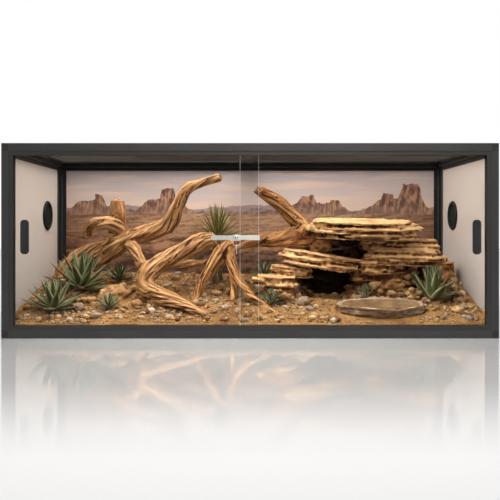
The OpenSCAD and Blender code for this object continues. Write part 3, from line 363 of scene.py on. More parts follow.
# Each butte: middle, half the width of its top, height of its top, run of its scree slope
buttes = [(-0.64, 0.030, 0.447, 0.12), (-0.60, 0.012, 0.468, 0.05), (-0.345, 0.060, 0.452, 0.10),
          (-0.325, 0.022, 0.492, 0.05), (-0.275, 0.010, 0.462, 0.04), (0.265, 0.085, 0.436, 0.10),
          (0.225, 0.024, 0.466, 0.06), (0.335, 0.016, 0.450, 0.05), (0.585, 0.075, 0.452, 0.12),
          (0.635, 0.030, 0.512, 0.06), (0.545, 0.016, 0.478, 0.06)]
ragged = maths(tree, "MULTIPLY", maths(tree, "SUBTRACT", at_scale((14, 30), 5, 0.55), 0.5), 0.03)
lumps = maths(tree, "MULTIPLY", maths(tree, "SUBTRACT", at_scale((34, 0.0), 5, 0.6, (3.1, 0)), 0.5), 0.035)
butte_line = skyline(horizon - 0.026, 0.03, 9, 0.014)
for middle, half_top, top, slope in buttes:
    off = maths(tree, "ABSOLUTE", maths(tree, "SUBTRACT", maths(tree, "ADD", across, ragged), middle))
    flank = maths(tree, "DIVIDE", maths(tree, "SUBTRACT", half_top + slope, off), slope, clamp=True)
    cliff = maths(tree, "POWER", flank, 1.9)
    peak = maths(tree, "MULTIPLY", cliff, maths(tree, "ADD", lumps, top - horizon))
    butte_line = maths(tree, "MAXIMUM", butte_line, maths(tree, "ADD", peak, horizon - 0.004))
flutes = lit_rock((46, 15), (0.10, 0.042, 0.03), (0.235, 0.11, 0.07), (0.42, 0.235, 0.14), 3.2)
veil = node(tree, "ShaderNodeMapRange", {
    "Value": height, "From Min": horizon - 0.02, "From Max": horizon + 0.05, "To Min": 0.55, "To Max": 0.0}).outputs[0]
flutes = laid_over(flutes, veil, (0.34, 0.215, 0.16, 1))
picture = laid_over(picture, below(butte_line), flutes)

plain_line = skyline(horizon - 0.014, 0.016, 6, 0.006)
streaks = lit_rock((9, 70), (0.24, 0.115, 0.065), (0.39, 0.215, 0.125), (0.52, 0.32, 0.20), 2.2)
picture = laid_over(picture, below(plain_line), streaks)
scrub_spots = node(tree, "ShaderNodeTexVoronoi", {
    "Vector": node(tree, "ShaderNodeMapping", {"Vector": place, "Scale": (34, 1, 74)}).outputs[0],
    "Scale": 1.0, "Randomness": 1.0}).outputs["Distance"]
tufts = maths(tree, "ADD", scrub_spots, maths(tree, "MULTIPLY", at_scale((90, 120), 3), 0.3))
scrub = maths(tree, "MULTIPLY", below(plain_line), ramp(tree, tufts, [(0.3, (1, 1, 1)), (0.44, (0, 0, 0))]))
picture = laid_over(picture, maths(tree, "MULTIPLY", scrub, 0.6), (0.11, 0.07, 0.035, 1))

swell_line = skyline(0.232, 0.12, 2.9, 0.02, 7.7)
swell_tone = lit_rock((10, 26), (0.11, 0.042, 0.022), (0.29, 0.135, 0.07), (0.46, 0.25, 0.14), 2.8)
picture = laid_over(picture, below(swell_line), swell_tone)
near_line = skyline(0.16, 0.15, 3.7, 0.02, 2.4)
picture = laid_over(picture, below(near_line), lit_rock(
    (13, 30), (0.055, 0.024, 0.014), (0.15, 0.072, 0.042), (0.27, 0.145, 0.085), 2.8))
land_edge = maths(tree, "MULTIPLY", below(plain_line), ramp(
    tree, maths(tree, "ABSOLUTE", across), [(0.35, (0, 0, 0)), (0.78, (0.85, 0.85, 0.85))]))
picture = node(tree, "ShaderNodeMix", {0: land_edge, 6: picture, 7: (0.45, 0.38, 0.34, 1)},
               data_type="RGBA", blend_type="MULTIPLY").outputs[2]

surface = node(tree, "ShaderNodeBsdfPrincipled", {
    "Base Color": picture, "Roughness": 0.6, "Normal": bumps(tree, specks(tree, 600, 2), 0.0001)})
tree.links.new(surface.outputs[0], output.inputs["Surface"])
dress(panorama, "rear_print")

# Screen tops: black frames with woven wire. The net is straight crossing wires in two layers,
# pressed into the frame's inner edge, close enough to look dark from a low angle.
dress(simple_finish("screen_coat", (0.02, 0.02, 0.02), (0.03, 0.03, 0.03), 0.5, 900, 0.0002),
      "left_screen_frame", "right_screen_frame")
wire_pitch = 0.005
wire_d = 0.0011


def joined(name, points, faces, smooth=True):
    """One mesh object from arrays of points and equal-sided faces."""
    mesh = bpy.data.meshes.new(name)
    mesh.from_pydata(points.tolist(), [], faces.tolist())
    mesh.validate()
    if smooth:
        mesh.shade_smooth()
    made = bpy.data.objects.new(name, mesh)
    bpy.context.scene.collection.objects.link(made)
    return made


def copies_of(points, faces, places):
    """Many placed copies of one small shape, as arrays; places is (copies, points, 3)."""
    count = len(places)
    shifted = faces[None] + (np.arange(count) * len(points))[:, None, None]
    return places.reshape(-1, 3), shifted.reshape(-1, faces.shape[1])


def wires(low, high, axis, z):
    """Six-sided wires side by side over a rectangle, running along one axis."""
    other = 1 - axis
    count = int((high[other] - low[other]) / wire_pitch)
    offsets = low[other] + (np.arange(count) + 0.5) * (high[other] - low[other]) / count
    turn = np.arange(6) * math.pi / 3
    ring = np.zeros((12, 3))
    ring[:6, axis] = low[axis]
    ring[6:, axis] = high[axis]
    ring[:, other] = np.tile(np.cos(turn), 2) * wire_d / 2
    ring[:, 2] = z + np.tile(np.sin(turn), 2) * wire_d / 2
    side = np.array([[k, (k + 1) % 6, 6 + (k + 1) % 6, 6 + k] for k in range(6)])
    if axis == 1:
        side = side[:, ::-1]
    places = np.repeat(ring[None], count, axis=0)
    places[:, :, other] += offsets[:, None]
    return copies_of(ring, side, places)


# The wires are near black with a warm brown tint, painted reflection of the warm-lit inside.
wire_black = simple_finish("wire_black", (0.03, 0.026, 0.022), (0.05, 0.042, 0.034), 0.45, 2500, 0.0001)
net_low, net_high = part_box("screen_nets")
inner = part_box("left_screen_frame")[1].x
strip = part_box("left_screen_frame")[0].x - net_low.x
net_z = (net_low.z + net_high.z) / 2
point_sets, face_sets, total = [], [], 0
for side in (-1, 1):
    x_pair = sorted((side * net_high.x, side * abs(inner + strip)))
    low = (x_pair[0], net_low.y)
    high = (x_pair[1], net_high.y)
    for axis, lift in ((0, wire_d / 2), (1, -wire_d / 2)):
        points, faces = wires(low, high, axis, net_z + lift)
        point_sets.append(points)
        face_sets.append(faces + total)
        total += len(points)
net = joined("woven_nets", np.concatenate(point_sets), np.concatenate(face_sets))
net.data.materials.append(wire_black)
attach(net, "root")
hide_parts("screen_nets")

# Doors: two panes of clear glass, ground and polished at their edges, in two-groove tracks.
# Each pane has a stuck-on finger pull of satin moulded plastic.
door_glass, tree, output = blank("door_glass")
facing = node(tree, "ShaderNodeSeparateXYZ", {0: node(tree, "ShaderNodeTexCoord").outputs["Normal"]}).outputs["Y"]
rim = maths(tree, "LESS_THAN", maths(tree, "ABSOLUTE", facing), 0.8)
pane = node(tree, "ShaderNodeBsdfPrincipled", {
    "Base Color": (0.985, 0.995, 0.99, 1), "Roughness": 0.0, "IOR": 1.45, "Transmission Weight": 1.0})
# The ground edges also glow a little: a painted glow along the panes' edges.
glowing_ground_edge = node(tree, "ShaderNodeBsdfPrincipled", {
    "Base Color": (0.74, 0.86, 0.83, 1), "Roughness": 0.3, "Emission Color": (0.75, 0.85, 0.83, 1),
    "Emission Strength": 0.12})
body_of_pane = node(tree, "ShaderNodeMixShader", {0: rim, 1: pane.outputs[0], 2: glowing_ground_edge.outputs[0]})
clear = node(tree, "ShaderNodeBsdfTransparent", {"Color": (0.98, 0.99, 0.985, 1)})
shade = node(tree, "ShaderNodeLightPath").outputs["Is Shadow Ray"]
whole = node(tree, "ShaderNodeMixShader", {0: shade, 1: body_of_pane.outputs[0], 2: clear.outputs[0]})
tree.links.new(whole.outputs[0], output.inputs["Surface"])
dress(door_glass, "left_glass", "right_glass")
dress(simple_finish("pull_plastic", (0.046, 0.049, 0.052), (0.062, 0.066, 0.07), 0.3, 800, 0.0001, coat=0.4),
      "left_pull", "right_pull")

# Lock: a toothed bar hooked over the edge of the rear pane, a sliding body with a turning plug,
# and two keys on a split ring. Bar and body are chrome, the keys nickel; all are given a pale colour
# and little metal, painted reflection of a bright room.
dress(simple_finish("satin_chrome_painted_reflection", (0.82, 0.82, 0.81), (0.90, 0.90, 0.89), 0.3, 700, 0.00003, metal=0.35),
      "lock_bar", "lock_body")
dress(simple_finish("turned_steel", (0.42, 0.42, 0.42), (0.5, 0.5, 0.5), 0.3, 900, 0.00006, metal=1.0), "lock_plug")
dress(simple_finish("key_nickel_painted_reflection", (0.74, 0.73, 0.70), (0.82, 0.81, 0.78), 0.3, 700, 0.00006, metal=0.35),
      "lock_key", "key_ring", "spare_key")

# Vents: black moulded louvred rosettes through the side panels, each closed by an outer ring.
# The moulding is matt with a fine spark-eroded grain.
dress(simple_finish("vent_plastic", (0.007, 0.007, 0.006), (0.012, 0.012, 0.010), 0.5, 900, 0.0001, shine=0.15),
      "left_vent", "right_vent", "vent_covers")

# Carved surfaces: wood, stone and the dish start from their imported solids, welded, remeshed to
# small even quads and smoothed. Reliefs move their vertices; attributes carry what colours need.
def drop_crumbs(made, fewest=400):
    """Deletes small loose bits that remeshing leaves at thin tips."""
    mesh = made.data
    ends = np.empty(len(mesh.edges) * 2, int)
    mesh.edges.foreach_get("vertices", ends)
    a, b = ends.reshape(-1, 2).T
    island = np.arange(len(mesh.vertices))
    while True:
        low = np.minimum(island[a], island[b])
        merged = island.copy()
        np.minimum.at(merged, a, low)
        np.minimum.at(merged, b, low)
        merged = merged[merged]
        if (merged == island).all():
            break
        island = merged
    small = np.bincount(island, minlength=len(island))[island] < fewest
    only(made)
    bpy.ops.object.mode_set(mode="EDIT")
    bpy.ops.mesh.select_mode(type="VERT")
    bpy.ops.mesh.select_all(action="DESELECT")
    bpy.ops.object.mode_set(mode="OBJECT")
    mesh.vertices.foreach_set("select", small)
    bpy.ops.object.mode_set(mode="EDIT")
    bpy.ops.mesh.delete(type="VERT")
    bpy.ops.object.mode_set(mode="OBJECT")


def clone(name, source, cell):
    """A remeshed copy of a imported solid, free of its properties."""
    mesh = solids[source].data.copy()
    mesh.name = name
    mesh.materials.clear()
    for key in list(mesh.keys()):
        del mesh[key]
    made = bpy.data.objects.new(name, mesh)
    bpy.context.scene.collection.objects.link(made)
    only(made)
    bpy.ops.object.mode_set(mode="EDIT")
    bpy.ops.mesh.select_all(action="SELECT")
    bpy.ops.mesh.remove_doubles(threshold=0.00001)
    bpy.ops.object.mode_set(mode="OBJECT")
    mesh.remesh_voxel_size = cell
    bpy.ops.object.voxel_remesh()
    mesh = made.data
    drop_crumbs(made)
    for spare in [a.name for a in mesh.attributes if not a.is_internal and not a.is_required]:
        mesh.attributes.remove(mesh.attributes[spare])
    mesh.shade_smooth()
    return made


def read_points(mesh):
    flat = np.empty(len(mesh.vertices) * 3)
    mesh.vertices.foreach_get("co", flat)
    return flat.reshape(-1, 3)


def write_points(mesh, points):
    mesh.vertices.foreach_set("co", points.ravel())
    mesh.update()


def read_normals(mesh):
    flat = np.empty(len(mesh.vertices) * 3)
    mesh.vertex_normals.foreach_get("vector", flat)
    return flat.reshape(-1, 3)


def store(mesh, name, values):
    """Keeps one number for each vertex, for the materials to read."""
    mesh.attributes.new(name, "FLOAT", "POINT").data.foreach_set("value", values.astype(np.float32))


def neighbours(mesh):
    """Vertices next to each vertex, over edges and across quads, in a table padded with itself."""
    count = len(mesh.vertices)
    edges = np.empty(len(mesh.edges) * 2, int)
    mesh.edges.foreach_get("vertices", edges)
    pairs = [edges.reshape(-1, 2)]
    corners = np.empty(len(mesh.loops), int)
    mesh.loops.foreach_get("vertex_index", corners)
    sides = np.empty(len(mesh.polygons), int)
    mesh.polygons.foreach_get("loop_total", sides)
    if (sides == 4).all():
        quads = corners.reshape(-1, 4)
        pairs += [quads[:, [0, 2]], quads[:, [1, 3]]]
    pairs = np.concatenate(pairs)
    pairs = np.concatenate([pairs, pairs[:, ::-1]])
    pairs = pairs[np.argsort(pairs[:, 0], kind="stable")]
    valence = np.bincount(pairs[:, 0], minlength=count)
    rank = np.arange(len(pairs)) - np.repeat(np.cumsum(valence) - valence, valence)
    table = np.repeat(np.arange(count)[:, None], valence.max(), axis=1)
    table[pairs[:, 0], rank] = pairs[:, 1]
    return table


def blurred(values, table, rounds):
    for _ in range(rounds):
        values = values[table].mean(axis=1)
    return values


def rounded_off(mesh, table, rounds):
    """Smooths facets away but keeps the bulk: what the blur takes off is blurred and given back."""
    points = read_points(mesh)
    soft = blurred(points, table, rounds)
    write_points(mesh, soft + blurred(points - soft, table, rounds))


def noise(points, size, seed):
    """Smooth noise, -1 to 1, with cells of one size in metres or of three."""
    cells = 32
    values = np.random.default_rng(seed).uniform(-1, 1, (cells, cells, cells))
    spot = points / np.asarray(size)
    low = np.floor(spot).astype(int)
    part = spot - low
    part = part * part * (3 - 2 * part)
    total = 0
    for corner in np.ndindex(2, 2, 2):
        weight = np.prod(np.where(corner, part, 1 - part), axis=1)
        i, j, k = ((low + corner) % cells).T
        total = total + weight * values[i, j, k]
    return total


def evened(values):
    """Shifts and scales values to a mean of 0 and a spread of 1."""
    return (values - values.mean()) / values.std()


def step_up(values, low, high):
    part = np.clip((values - low) / (high - low), 0, 1)
    return part * part * (3 - 2 * part)


def attribute(tree, name):
    return node(tree, "ShaderNodeAttribute", attribute_name=name).outputs["Fac"]


def mixed(tree, share, under, over, blend="MIX"):
    return node(tree, "ShaderNodeMix", {0: share, 6: under, 7: over}, data_type="RGBA",
                blend_type=blend).outputs[2]


def stands_for(made, source, finish):
    """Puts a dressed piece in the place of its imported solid."""
    made.data.materials.append(finish)
    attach(made, body_of(solids[source])[0])
    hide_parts(source)


# Driftwood: weathered grape-vine limbs with long twisting cracks. Ridges are paler and hollows darker,
# partly wear and partly painted shade, and the cracks are painted dark as painted shade.
# The grain runs along each limb, found from how the surface curves, and winds round it a little.
wood_cell = 0.0021
wood_twist = math.radians(13)


def grain_directions(mesh, table):
    """Direction of the grain at each vertex: the limb's own axis, turned by the twist."""
    normals = read_normals(mesh)
    spread = blurred(normals[:, :, None] * normals[:, None, :], table, 24)
    along = np.linalg.eigh(spread)[1][:, :, 0]
    along -= normals * (along * normals).sum(axis=1, keepdims=True)
    along /= np.linalg.norm(along, axis=1, keepdims=True) + 1e-9
    return along * math.cos(wood_twist) + np.cross(normals, along) * math.sin(wood_twist)


def grain_links(mesh, table, along):
    """For each vertex, the nearby ones that lie before and behind it on the grain, and their weights."""
    points = read_points(mesh)
    wide = table[table].reshape(len(points), -1)
    steps = (points[wide] - points[:, None]).astype(np.float32)
    reach = np.linalg.norm(steps, axis=2) + 1e-9
    lean = (steps * along[:, None].astype(np.float32)).sum(axis=2) / reach
    keep, weight = [], []
    for sense in (1, -1):
        best = np.argpartition(-sense * lean, 5, axis=1)[:, :5]
        keep.append(np.take_along_axis(wide, best, 1))
        weight.append(np.clip(sense * np.take_along_axis(lean, best, 1), 0.01, 1) ** 30)
    weight = np.concatenate(weight, axis=1)
    return np.concatenate(keep, axis=1), weight / weight.sum(axis=1, keepdims=True)


def streaks_along(table, links, weights, width, length, seed):
    """Noise drawn out along the grain: blurred evenly for its width, then along for its length."""
    values = blurred(np.random.default_rng(seed).standard_normal(len(table)), table, width)
    for _ in range(length):
        values = 0.4 * values + 0.6 * (values[links] * weights).sum(axis=1)
    return evened(values)


def snapped(points, ends, seed):
    """Breaks limbs off across: what lies past an end's plane is pushed back to a torn face."""
    for centre, way, reach in ends:
        way = np.array(way) / np.linalg.norm(way)
        off = points - np.array(centre)
        past = off @ way
        near = np.linalg.norm(off - past[:, None] * way, axis=1) < reach
        torn = 0.005 * noise(points * [1, 1, 0.3], 0.009, seed) + 0.003 * noise(points * [1, 1, 0.3], 0.004, seed + 1)
        points = points - way * (np.clip(past - torn, 0, 0.05) * near)[:, None]
    return points


def driftwood(name, source, finish, seed, ends=()):
    made = clone(name, source, wood_cell)
    mesh = made.data
    table = neighbours(mesh)
    rounded_off(mesh, table, 14)
    links, weights = grain_links(mesh, table, grain_directions(mesh, table))
    flutes = streaks_along(table, links, weights, 9, 110, seed)
    splits = streaks_along(table, links, weights, 3, 90, seed + 1)
    hairs = streaks_along(table, links, weights, 0, 40, seed + 2)
    points = read_points(mesh)
    patches = step_up(noise(points, 0.055, seed + 3), -0.35, 0.25)
    crack = np.exp(-(splits / 0.12) ** 2) * patches
    deep = np.exp(-((flutes + 0.55) / 0.09) ** 2) * step_up(noise(points, 0.04, seed + 6), -0.2, 0.3)
    hairline = step_up(-hairs, 0.5, 1.8)
    relief = (0.0017 * np.clip(flutes, -1.6, 1.6) - 0.0020 * crack - 0.0028 * deep
              - 0.0009 * hairline + 0.0030 * noise(points, 0.04, seed + 4) - 0.0018)
    normals = read_normals(mesh)
    write_points(mesh, snapped(points + normals * relief[:, None], ends, seed + 5))
    # Paler where the surface bulges and darker where it sinks: partly wear, partly painted shade in the hollows.
    wear_and_shading = evened(blurred(relief, table, 1) - blurred(relief, table, 14))
    store(mesh, "hairs", 0.5 + 0.2 * hairs)
    store(mesh, "cracks", np.clip(np.maximum(0.7 * crack, 0.95 * deep) + 0.4 * hairline, 0, 1))
    store(mesh, "wear_and_shading", 0.5 + 0.2 * wear_and_shading)
    stands_for(made, source, finish)
    return made


def wood_finish(name, pale, mid, dark):
    made, tree, output = blank(name)
    tone = ramp(tree, maths(tree, "ADD", maths(tree, "MULTIPLY", attribute(tree, "wear_and_shading"), 0.6),
                            maths(tree, "MULTIPLY", attribute(tree, "hairs"), 0.4)),
                [(0.28, dark), (0.48, mid), (0.68, pale)])
    stain = ramp(tree, specks(tree, 14, 4), [(0.35, (0.62, 0.5, 0.42)), (0.6, (1, 1, 1))])
    tone = mixed(tree, 0.8, tone, stain, "MULTIPLY")
    # Cracks and deep fissures are darkened towards brown-black: painted shade in the cracks.
    hollow = ramp(tree, attribute(tree, "cracks"), [(0.08, (1, 1, 1)), (0.85, (0.26, 0.175, 0.12))])
    tone = mixed(tree, 1.0, tone, hollow, "MULTIPLY")
    surface = node(tree, "ShaderNodeBsdfPrincipled", {
        "Base Color": tone, "Roughness": 0.72, "Specular IOR Level": 0.3,
        "Normal": bumps(tree, specks(tree, 500, 3), 0.0004)})
    tree.links.new(surface.outputs[0], output.inputs["Surface"])
    return made


golden_wood = wood_finish("golden_wood", (0.68, 0.405, 0.185), (0.37, 0.172, 0.062), (0.12, 0.046, 0.016))
ruddy_wood = wood_finish("ruddy_wood", (0.66, 0.36, 0.14), (0.34, 0.14, 0.044), (0.09, 0.032, 0.011))
driftwood("left_wood", "left_driftwood", golden_wood, 11, [
    ((-0.492, 0.133, 0.445), (0.1, -0.1, 1), 0.05), ((-0.109, 0.040, 0.517), (1, -0.2, 0.35), 0.04)])
driftwood("centre_wood", "centre_driftwood", golden_wood, 23)
driftwood("right_wood", "right_driftwood", ruddy_wood, 37, [((0.018, 0.010, 0.476), (-1, -0.1, 0.55), 0.05)])

# Flagstones: each is split along its beds, so uneven sheets stick out and dark gaps run between.
# Bedding is noise stretched flat; it pushes the sides in and out and leaves the flat faces alone.
stone_cell = 0.0033


def bedded_stone(name, source, finish, seed, cell=stone_cell, push=0.0048, bed=0.015):
    made = clone(name, source, cell)
    mesh = made.data
    table = neighbours(mesh)
    rounded_off(mesh, table, 3)
    points = read_points(mesh)
    normals = read_normals(mesh)
    warped = points.copy()
    warped[:, 2] += 0.009 * noise(points, 0.09, seed)
    beds = noise(warped, (0.075, 0.075, 1.5 * bed), seed + 1)
    leaves = noise(warped, (0.035, 0.035, 0.5 * bed), seed + 2)
    chips = np.abs(noise(warped, (0.026, 0.026, 0.014), seed + 3))
    grit = noise(points, 0.008, seed + 4)
    lumps = noise(points, 0.05, seed + 7)
    side = 1 - np.abs(normals[:, 2])
    gap = np.exp(-(leaves / 0.10) ** 2)
    broken = step_up(noise(points, 0.06, seed + 6), -0.1, 0.4)
    relief = side * (push * (0.75 * beds + 0.4 * leaves - 0.6 * gap * broken - 0.6) + 0.004 * lumps - 0.001)
    relief += (0.0012 - 0.0075 * chips) * (0.35 + 0.65 * side) + 0.0016 * grit
    relief += (1 - side) * 0.0026 * noise(points, (0.045, 0.03, 0.05), seed + 5)
    write_points(mesh, points + normals * relief[:, None])
    # Paler on ridges, darker in hollows: partly wear, partly painted shade.
    wear_and_shading = evened(blurred(relief, table, 1) - blurred(relief, table, 10))
    store(mesh, "wear_and_shading", 0.5 + 0.2 * wear_and_shading)
    store(mesh, "beds", 0.5 + 0.4 * leaves)
    # Upward faces, painted lighter in the finish: painted top light.
    store(mesh, "lit_tops", step_up(normals[:, 2], 0.2, 0.75))
    # Gaps between the beds, on the sides, are darkened: painted shade.
    store(mesh, "gaps", np.clip(gap * side * (0.4 + 1.2 * broken), 0, 1))
    stands_for(made, source, finish)
    return made


def stone_finish(name, pale, mid, dark, gap_shade_tone, bed_share=0.45):
    made, tree, output = blank(name)
    blend = maths(tree, "ADD", maths(tree, "MULTIPLY", attribute(tree, "wear_and_shading"), 1 - bed_share),
                  maths(tree, "MULTIPLY", attribute(tree, "beds"), bed_share))
    # Upward faces lighter still: painted top light.
    blend = maths(tree, "ADD", blend, maths(tree, "MULTIPLY", attribute(tree, "lit_tops"), 0.2))
    tone = ramp(tree, blend, [(0.33, dark), (0.52, mid), (0.72, pale)])
    blotch = ramp(tree, specks(tree, 22, 5, 0.65), [(0.36, (0.66, 0.5, 0.38)), (0.58, (1, 1, 1))])
    tone = mixed(tree, 0.75, tone, blotch, "MULTIPLY")
    shadow = ramp(tree, attribute(tree, "gaps"), [(0.25, (1, 1, 1)), (0.95, gap_shade_tone)])
    tone = mixed(tree, 1.0, tone, shadow, "MULTIPLY")
    surface = node(tree, "ShaderNodeBsdfPrincipled", {
        "Base Color": tone, "Roughness": 0.85, "Specular IOR Level": 0.25,
        "Normal": bumps(tree, specks(tree, 320, 5, 0.7), 0.0012)})
    tree.links.new(surface.outputs[0], output.inputs["Surface"])
    return made


cream_stone = stone_finish("cream_stone", (0.82, 0.54, 0.27), (0.46, 0.245, 0.10), (0.15, 0.062, 0.022),
                           (0.16, 0.09, 0.05))
amber_stone = stone_finish("amber_stone", (0.50, 0.28, 0.12), (0.28, 0.125, 0.045), (0.10, 0.042, 0.017),
                           (0.2, 0.12, 0.08))
umber_stone = stone_finish("umber_stone", (0.56, 0.31, 0.13), (0.32, 0.15, 0.056), (0.12, 0.052, 0.02),
                           (0.3, 0.2, 0.14))
bedded_stone("top_flagstone", "ledge_top_slab", cream_stone, 51)
bedded_stone("middle_flagstone", "ledge_middle_slab", cream_stone, 61)
bedded_stone("left_flagstones", "ledge_left_slabs", cream_stone, 71)
bedded_stone("right_flagstones", "ledge_right_slabs", cream_stone, 81)
bedded_stone("propping_stump", "ledge_column", amber_stone, 91, push=0.008, bed=0.05)
bedded_stone("left_footing", "ledge_left_base", umber_stone, 101, push=0.007, bed=0.03)
bedded_stone("right_footing", "ledge_right_base", umber_stone, 111, push=0.007, bed=0.03)
# The rear rock under the ledge is a very dark stone: painted shade of the cave.
cave_shade_stone = stone_finish("cave_shade_stone", (0.26, 0.14, 0.065), (0.12, 0.062, 0.03), (0.04, 0.02, 0.01),
                          (0.3, 0.2, 0.14))
cave_nodes = cave_shade_stone.node_tree
cave_nodes.nodes["Principled BSDF"].inputs["Specular IOR Level"].default_value = 0.06
base_colour = cave_nodes.nodes["Principled BSDF"].inputs["Base Color"]
level = node(cave_nodes, "ShaderNodeSeparateXYZ", {0: object_place(cave_nodes)}).outputs["Z"]
# Near black towards its foot: more painted shade deep in the cave.
painted_cave_shade = node(cave_nodes, "ShaderNodeMapRange", {
    "Value": level, "From Min": 0.195, "From Max": 0.238, "To Min": 0.93, "To Max": 0.0}).outputs[0]
cave_nodes.links.new(mixed(cave_nodes, painted_cave_shade, base_colour.links[0].from_socket, (0.014, 0.010, 0.006, 1)), base_colour)
bedded_stone("rear_footing", "ledge_rear_rock", cave_shade_stone, 121, push=0.007, bed=0.03)

# Loose stones: boulders with flattened, chipped faces and smoother river pebbles.
# Every stone takes its own tone from where it lies: tan, cream, grey or lilac.
def loose_stones(name, source, finish, seed, cell, chip, rounds):
    made = clone(name, source, cell)
    mesh = made.data
    table = neighbours(mesh)
    rounded_off(mesh, table, rounds)
    points = read_points(mesh)
    relief = chip * noise(points, (0.04, 0.04, 0.016), seed) + 0.3 * chip * noise(points, 0.009, seed + 1) - chip
    write_points(mesh, points + read_normals(mesh) * relief[:, None])
    wear_and_shading = evened(blurred(relief, table, 1) - blurred(relief, table, 8))
    store(mesh, "wear_and_shading", 0.5 + 0.2 * wear_and_shading)
    stands_for(made, source, finish)
    return made


def loose_finish(name, tones, scale):
    made, tree, output = blank(name)
    own = specks(tree, scale, 0)
    tone = ramp(tree, own, [(0.36 + 0.28 * k / (len(tones) - 1), c) for k, c in enumerate(tones)])
    # Darker in hollows, paler on ridges: partly wear, partly painted shade.
    wear_and_shading_tone = ramp(tree, attribute(tree, "wear_and_shading"), [(0.2, (0.42, 0.32, 0.25)), (0.55, (1, 1, 1))])
    tone = mixed(tree, 0.85, tone, wear_and_shading_tone, "MULTIPLY")
    vein = ramp(tree, specks(tree, 45, 4), [(0.38, (0.62, 0.52, 0.44)), (0.6, (1, 1, 1))])
    tone = mixed(tree, 0.7, tone, vein, "MULTIPLY")
    surface = node(tree, "ShaderNodeBsdfPrincipled", {
        "Base Color": tone, "Roughness": 0.8, "Specular IOR Level": 0.3,
        "Normal": bumps(tree, specks(tree, 420, 4, 0.65), 0.0008)})
    tree.links.new(surface.outputs[0], output.inputs["Surface"])
    return made


stone_tones = [(0.46, 0.25, 0.11), (0.74, 0.51, 0.26), (0.54, 0.32, 0.15), (0.36, 0.26, 0.20)]
river_tones = [(0.30, 0.235, 0.20), (0.54, 0.37, 0.22), (0.38, 0.32, 0.31), (0.64, 0.49, 0.33)]
loose_stones("chipped_boulders", "boulders", loose_finish("boulder_stone", stone_tones, 9), 131, 0.0028, 0.0028, 8)
loose_stones("river_pebbles", "pebbles", loose_finish("pebble_stone", river_tones, 26), 141, 0.0018, 0.0007, 8)

# Water dish: cast stone-look resin, layered outside, with a pale rim and a tawny bowl. The rim's
# upward faces are painted lighter, as painted top light.
# Its hollow faces up and the sand keeps a pocket for it.
dish_middle = (0.427, -0.170)
dish_half = (0.152, 0.092)


def dish_inset(x, y):
    """How far inside the dish's outline a place lies, in metres; negative outside it."""
    off_x = (x - dish_middle[0]) / dish_half[0]
    off_y = (y - dish_middle[1]) / dish_half[1]
    share = np.sqrt(off_x ** 2 + off_y ** 2) + 1e-6
    reach = np.hypot((x - dish_middle[0]) / share, (y - dish_middle[1]) / share)
    return (1 - share) * reach


dish_stone = stone_finish(
    "dish_stone", (0.62, 0.48, 0.36), (0.40, 0.28, 0.19), (0.17, 0.105, 0.065), (0.4, 0.3, 0.23))
dish = clone("layered_dish", "water_dish", 0.0024)
table = neighbours(dish.data)
rounded_off(dish.data, table, 4)
points = read_points(dish.data)
normals = read_normals(dish.data)
inset = dish_inset(points[:, 0], points[:, 1])
bowl = step_up(inset, 0.017, 0.024)
# Upward faces outside the bowl: the rim, painted lighter as painted top light.
rim = np.clip(normals[:, 2], 0, 1) * (1 - bowl)
side = (1 - np.abs(normals[:, 2])) * (1 - bowl)
strata = noise(points + 0.003 * noise(points, 0.05, 151)[:, None], (0.09, 0.09, 0.011), 152)
gap = np.exp(-(noise(points, (0.07, 0.07, 0.008), 153) / 0.16) ** 2)
dents = noise(points, (0.042, 0.042, 0.03), 154) + 0.4 * noise(points, 0.014, 156)
relief = side * (0.0020 * strata - 0.0014 * gap - 0.001) + (1 - bowl) * (0.0038 * dents - 0.0016) - 0.0026
# The bowl's inner wall is painted darker: painted shade.
inner_wall = bowl * (1 - np.abs(normals[:, 2]))
relief += 0.008 * inner_wall
write_points(dish.data, points + normals * relief[:, None])
wear_and_shading = 0.47 + 0.10 * evened(blurred(relief, table, 1) - blurred(relief, table, 10)) + 0.25 * rim
wear_and_shading -= 0.2 * inner_wall
store(dish.data, "wear_and_shading", wear_and_shading)
# The beds tone takes the same painted rim light and inner-wall shade.
store(dish.data, "beds", wear_and_shading + 0.08 * noise(points, 0.03, 155))
# A dark band just below the rim, fading downward: painted shadow of the rim.
under_rim = inner_wall * step_up(points[:, 2], 0.078, 0.096)
store(dish.data, "gaps", np.clip(gap * side * 0.55 + 0.75 * under_rim, 0, 1))
store(dish.data, "bowl", bowl * step_up(0.104 - points[:, 2], 0.006, 0.022))
dish_nodes = dish_stone.node_tree
base_colour = dish_nodes.nodes["Principled BSDF"].inputs["Base Color"]
plain_tone = base_colour.links[0].from_socket
# The bowl's inside turns a darker brown with depth.
bowl_depth_tone = ramp(dish_nodes, specks(dish_nodes, 30, 4), [(0.35, (0.19, 0.11, 0.045)), (0.65, (0.33, 0.21, 0.10))])
dish_nodes.links.new(mixed(dish_nodes, maths(dish_nodes, "MULTIPLY", attribute(dish_nodes, "bowl"), 0.8),
                           plain_tone, bowl_depth_tone), base_colour)
stands_for(dish, "water_dish", dish_stone)

# Sand: a deep bed that rises to the rear and heaps up in the middle, with wind-blown unevenness.
# The bed's height follows the same rule as its solid, so every foot and stone stays buried.
sand_low, sand_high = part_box("sand_bed")
room_half = 0.7543
room_depth = 0.5783
front_level = 0.039
rear_rise = 0.131
side_drop = 0.016
sand_cell = 0.0036

# Burrow under the middle flagstone: where its left side, right side and mouth begin and end
burrow_left = (0.17, 0.205)
burrow_right = (-0.37, -0.335)
burrow_mouth = (-0.062, -0.03)
burrow_depth = 0.03


